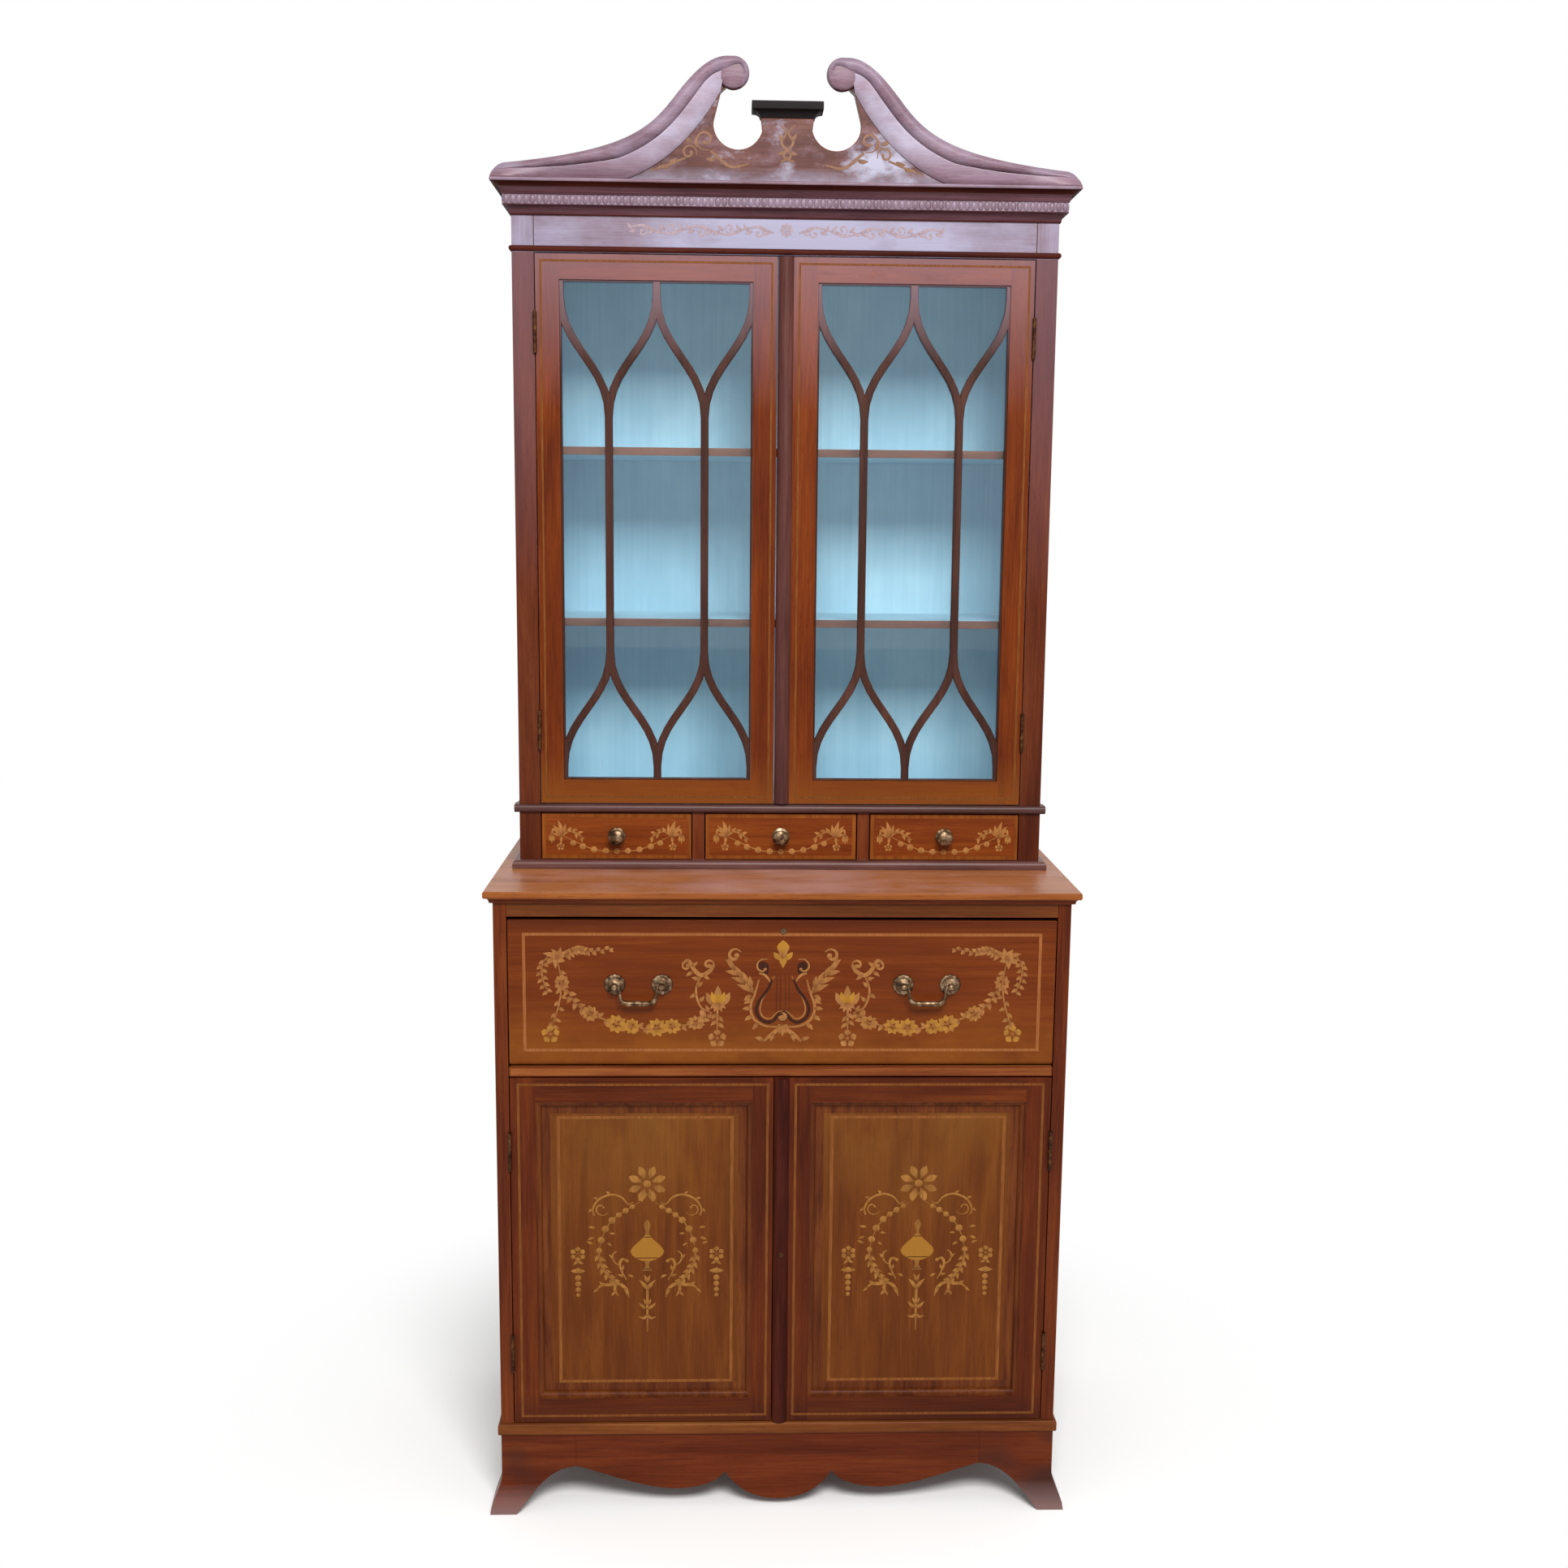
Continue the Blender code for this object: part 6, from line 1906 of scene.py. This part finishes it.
@dataclass
class SmallDrawers:
    """The row of three small drawers with their brass knobs."""

    front_thickness: float = 18 * MM
    edge_mm: float = 0.9  # from the front's edge to its crossbanding
    band_mm: float = 6.0
    knob_length: float = 22 * MM
    knob_radius: float = 13.5 * MM

    def build(self) -> None:
        """Builds the three drawers."""
        for place in ("left", "middle", "right"):
            self.drawer(place)
            self.knob(place)

    def drawer(self, place: str) -> None:
        """A drawer with a veneered front and a plain box behind it.

        Args:
            place: Name of the drawer.
        """
        node, body = f"small_drawer_{place}", f"{place}_drawer"
        low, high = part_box(node)
        seam = low.y + self.front_thickness / 2
        materials = [*across(DRAWER_VENEER), LINING.material(Grain.DEEP), *across(RUBBED_AND_LIT_EDGE)]
        softened(
            node, f"{node}_box", materials, body, DRAWER_VENEER,
            0.6 * MM, cuts=[((0, seam, 0), (0, 1, 0))], choose=lambda middle, normal: int(middle.y > seam),
        )
        band = Inlay(f"{node}_crossband", low.y, (TULIPWOOD, BOXWOOD, DYED_WOOD), proud=0.12)
        x, z = [(low[k] / MM + self.edge_mm, high[k] / MM - self.edge_mm) for k in (0, 2)]
        band.frame(x, z, self.band_mm, InlayKind.SATIN)
        band.lay(body)
        woods_used = (SWAG_SATINWOOD, SWAG_SATINWOOD, DYED_WOOD)
        inlay = DrawerInlay(f"{node}_marquetry", low.y, woods_used, (low.x + high.x) / 2 / MM)
        inlay.both(inlay.swag)
        inlay.disc(0, 1078, 5.0)
        inlay.lay(body)

    def knob(self, place: str) -> None:
        """A turned brass knob on its back plate.

        Args:
            place: Name of the drawer.
        """
        node = f"small_knob_{place}"
        low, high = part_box(node)
        centre = ((low.x + high.x) / 2, high.y, (low.z + high.z) / 2)
        r, tall = self.knob_radius, self.knob_length
        profile = [(0, tall)]
        profile += [(r * 0.96 * cos(t), tall * 0.78 + tall * 0.21 * sin(t)) for t in
                    [radians(80 - 13 * i) for i in range(9)]]
        profile += [(r * share, tall * up) for share, up in (
            (0.8, 0.68), (0.56, 0.56), (0.4, 0.44), (0.4, 0.3), (0.5, 0.18), (0.7, 0.14),
            (0.98, 0.1), (1.08, 0.05), (1.09, 0), (0, 0),
        )]
        knob = turned(f"turned_knob_{place}", profile, centre)
        dress(knob, f"{place}_drawer", BRASS, nodes=[node])


@dataclass
class WritingDrawer:
    """The writing drawer: tray, pigeonholes, the inlaid fall, its stays and its handles."""

    body: str = "writing_drawer"
    post_length: float = 22.5 * MM
    post_head: float = 6 * MM
    rosette_radius: float = 17.5 * MM
    bail_radius: float = 2.6 * MM
    bail_drop: float = 27 * MM
    leather_t: float = 0.3 * MM

    def build(self) -> None:
        """Builds the drawer and the fall."""
        lining = across(LINING) * 2
        for node, name in (("writing_tray", "writing_tray_boards"), ("pigeonhole_nest", "pigeonhole_boards")):
            softened(node, name, lining, self.body, LINING, 0.6 * MM)
        self.fall()
        self.leathers()
        self.marquetry()
        brass = upright(BRASS) * 2
        for side, _ in SIDES:
            softened(f"quadrant_{side}", f"quadrant_stay_{side}", brass, "fall", BRASS, 0.3 * MM)
            for end in ("inner", "outer"):
                self.post(f"handle_post_{side}_{end}", f"handle_rosette_{side}_{end}")
            self.bail(side)

    def fall(self) -> None:
        """The fall: veneered outside, plain inside."""
        materials = across(FALL_VENEER, LINING, RUBBED_AND_LIT_EDGE)
        softened(
            "fall_front", "fall_board", materials, "fall", FALL_VENEER,
            choose=lambda middle, normal: int(normal.y > 0.9),
        )

    def leathers(self) -> None:
        """The writing leathers, let into the tray's floor and the inside of the fall."""
        nest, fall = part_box("pigeonhole_nest")[0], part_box("fall_front")[1]
        start = nest.x + 24 * MM
        for name, body, level, span, face in (
            ("tray_leather", self.body, True, (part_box("writing_tray")[0].y + 12 * MM, nest.y - 10 * MM), nest.z),
            ("fall_leather", "fall", False, (nest.z + 24 * MM, fall.z - 32 * MM), fall.y),
        ):
            sections = []
            for inset, lift in ((0.0, -0.2 * MM), (0.0, self.leather_t * 0.6), (0.4 * MM, self.leather_t)):
                edges, out = corners((start, -start), span, inset), face + lift
                sections.append([(x, along, out) if level else (x, out, along) for x, along in edges])
            dress(swept(name, sections), body, GREEN_SKIVER)

    def post(self, node: str, name: str) -> None:
        """A handle's post with its ball and its scalloped rosette.

        Args:
            node: Solid that it replaces.
            name: Name of the new piece.
        """
        low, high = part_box(node)
        centre = Vector(((low.x + high.x) / 2, high.y, (low.z + high.z) / 2))
        pin = self.post_length - self.post_head
        r = self.rosette_radius
        profile = [(0, self.post_length)]
        profile += [tuple(p) for p in arc((0, pin), self.post_head, 78, -42, 10)]
        profile += [(out * MM, up * MM) for out, up in ((3.6, 9.6), (3.4, 7.4), (4.8, 6.0))]
        profile += [(r * share, up * MM) for share, up in (
            (0.42, 5.4), (0.55, 4.6), (0.6, 3.5), (0.68, 3.3), (0.84, 3.6), (0.95, 2.6),
            (0.985, 1.2), (0.985, 0), (0, 0),
        )]
        piece = turned(name, profile, centre, 60)
        for corner in piece.data.vertices:
            spoke = Vector((corner.co.x - centre.x, corner.co.z - centre.z))
            if spoke.length > r * 0.62:
                turn = atan2(spoke.y, spoke.x)
                share = 1 - 0.07 * (0.5 - 0.5 * cos(12 * turn)) * (spoke.length / r)
                corner.co.x = centre.x + spoke.x * share
                corner.co.z = centre.z + spoke.y * share
        dress(piece, "fall", BRASS, nodes=[node])

    def bail(self, side: str) -> None:
        """A swan-neck bail, thickest in the middle of its drop.

        Args:
            side: Name of the side.
        """
        node = f"bail_{side}"
        low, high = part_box(node)
        middle = (low.x + high.x) / 2
        y = (low.y + high.y) / 2
        half = (high.x - low.x) / 2
        axis = high.z - self.bail_radius
        drop = self.bail_drop
        # Half a bail from its eye to its middle, as shares of its half width and its drop
        shares = ((1.0, 0.0), (0.92, 0.04), (0.87, 0.22), (0.86, 0.5), (0.8, 0.78), (0.66, 0.95), (0.42, 1), (0, 1))
        right = smooth([(out * half, -down * drop) for out, down in shares], 4)
        path = [Vector((-p.x, p.y)) for p in right] + list(reversed(right[:-1]))
        points = [(middle + p.x, y, axis + p.y) for p in path]
        radii = [self.bail_radius * (0.85 + 0.8 * max(0.0, -p.y / drop) ** 3) for p in path]
        piece = rod(f"drop_bail_{side}", points, radii)
        dress(piece, f"{side}_bail", BRASS, nodes=[node])

    def marquetry(self) -> None:
        """Stringing, ribbons, garlands and a lyre let into the fall."""
        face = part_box("fall_front")[0].y
        inlay = FallInlay("fall_marquetry", face)
        inlay.frame((-412, 412), (787.5, 981.5), 4.8)
        for motif in (inlay.garland, inlay.stems, inlay.lyre_half):
            inlay.both(motif)
        inlay.lyre_middle()
        inlay.lay("fall")
        profile = ((0, 0.7), (2.0, 0.7), (3.6, 1.3), (4.8, 0.9), (5.2, 0), (0, 0))
        keyhole = turned("fall_keyhole", [(r * MM, out * MM) for r, out in profile], (0, face, 984 * MM), 28)
        dress(keyhole, "fall", BRASS)


@dataclass
class Hardware:
    """Small brass that stays as its solid and takes a finish."""

    def build(self) -> None:
        """Finishes the hinges and adds the cupboard's keyhole."""
        for name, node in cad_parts.items():
            if "_hinge_" in name:
                node.data.materials.clear()
                node.data.materials.append(BRONZED.material())
                log.info("%s keeps its solid", name)
        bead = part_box("cupboard_frame_right")[0]
        profile = ((0, 0.5), (1.8, 0.5), (3.2, 1.1), (4.4, 0.7), (4.8, -0.6), (0, -0.6))
        keyhole = turned("cupboard_keyhole", [(r * MM, out * MM) for r, out in profile], (0, bead.y, 447 * MM), 28)
        dress(keyhole, "cupboard_door_right", BRONZED)


@dataclass
class Studio:
    """Plain pale floor, soft light and the camera at the photograph's place."""

    camera_x: float = -85.3 * MM
    camera_ahead: float = 2581.2 * MM  # from the base's front
    camera_z: float = 1614.6 * MM
    focal_px: float = 2062.8
    image_px: float = 1932.0
    sensor: float = 36.0
    yaw_deg: float = 1.863
    pitch_deg: float = 8.683
    roll_deg: float = 0.552
    ambient: float = 0.6
    key_watts: float = 285.0
    key_size: tuple[float, float] = (2.2, 1.5)
    key_place: tuple[float, float, float] = (0.4, -3.8, 4.25)
    key_aim: tuple[float, float, float] = (0, 0, 1.1)
    shadow: tuple[float, float] = (0.5, 1.15)  # distances between which the floor fades to white
    floor_grey: str = "#f4f3f1"

    def build(self) -> None:
        """Sets up the whole stage."""
        bpy.context.scene.view_settings.view_transform = "Standard"
        self.camera()
        self.world()
        self.lamps()
        self.floor()

    def camera(self) -> None:
        """The camera, solved from the perspective of the photograph."""
        data = bpy.data.cameras.new("camera")
        data.sensor_width = self.sensor
        data.lens = self.focal_px * self.sensor / self.image_px
        camera = placed("camera", data)
        yaw, pitch, roll = (radians(a) for a in (self.yaw_deg, self.pitch_deg, self.roll_deg))
        turn = Matrix.Rotation(-yaw, 4, "Z") @ Matrix.Rotation(pi / 2 - pitch, 4, "X")
        turn @= Matrix.Rotation(roll, 4, "Z")
        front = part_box("base_side_left")[0].y
        place = Matrix.Translation((self.camera_x, front - self.camera_ahead, self.camera_z))
        camera.matrix_world = place @ turn
        bpy.context.scene.camera = camera

    def world(self) -> None:
        """A white backdrop for the eye, for glass and for brass, and a plain level of light."""
        world = bpy.data.worlds.new("studio")
        bpy.context.scene.world = world
        tree = bare_tree(world)
        path = add_node(tree, "LightPath").node.outputs
        seen = path["Is Camera Ray"]
        for ray in ("Is Glossy Ray", "Is Transmission Ray"):
            seen = add_node(tree, "Math", {0: seen, 1: path[ray]}, operation="MAXIMUM")
        light = add_node(tree, "Background", {"Color": (0.96, 0.98, 1.0, 1.0), "Strength": self.ambient})
        white = add_node(tree, "Background", {"Color": (1.0, 1.0, 1.0, 1.0), "Strength": 1.0})
        add_node(tree, "OutputWorld", {"Surface": add_node(tree, "MixShader", {0: seen, 1: light, 2: white})})

    def lamps(self) -> None:
        """One large soft lamp above the camera, a little to the right."""
        data = bpy.data.lights.new("softbox", "AREA")
        data.shape = "RECTANGLE"
        data.size, data.size_y = self.key_size
        data.energy = self.key_watts
        lamp = placed("softbox", data)
        lamp.location = self.key_place
        aim = Vector(self.key_aim) - lamp.location
        lamp.rotation_euler = aim.to_track_quat("-Z", "Y").to_euler()

    def floor(self) -> None:
        """A pale floor that keeps the shadow near the feet and fades to the white backdrop."""
        bpy.ops.object.select_all(action="DESELECT")
        bpy.ops.mesh.primitive_plane_add(size=40)
        floor = bpy.context.active_object
        floor.name = "studio_floor"
        material = bpy.data.materials.new("matt_studio_floor")
        tree = bare_tree(material)
        place = add_node(tree, "TexCoord", out="Object")
        away = add_node(tree, "VectorMath", {0: place}, out="Value", operation="LENGTH")
        fade = {"Value": away, "From Min": self.shadow[0], "From Max": self.shadow[1]}
        far = add_node(tree, "MapRange", fade, interpolation_type="SMOOTHSTEP")
        seen = add_node(tree, "LightPath", out="Is Camera Ray")
        share = add_node(tree, "Math", {0: far, 1: seen}, operation="MULTIPLY")
        matt = add_node(tree, "BsdfDiffuse", {"Color": linear(self.floor_grey)})
        white = add_node(tree, "Emission", {"Color": (1.0, 1.0, 1.0, 1.0), "Strength": 1.0})
        add_node(tree, "OutputMaterial", {"Surface": add_node(tree, "MixShader", {0: share, 1: matt, 2: white})})
        floor.data.materials.append(material)


def main() -> None:
    """Builds the bookcase from its feet up, then the stage."""
    logging.basicConfig(level=logging.INFO, format="%(message)s")
    parts = (BaseCase(), BookCase(), Crown(), GlazedDoors(), CupboardDoors(), SmallDrawers(), WritingDrawer())
    for part in (*parts, Hardware(), Studio()):
        part.build()
        log.info("%s done", type(part).__name__)


if __name__ == "__main__":
    main()
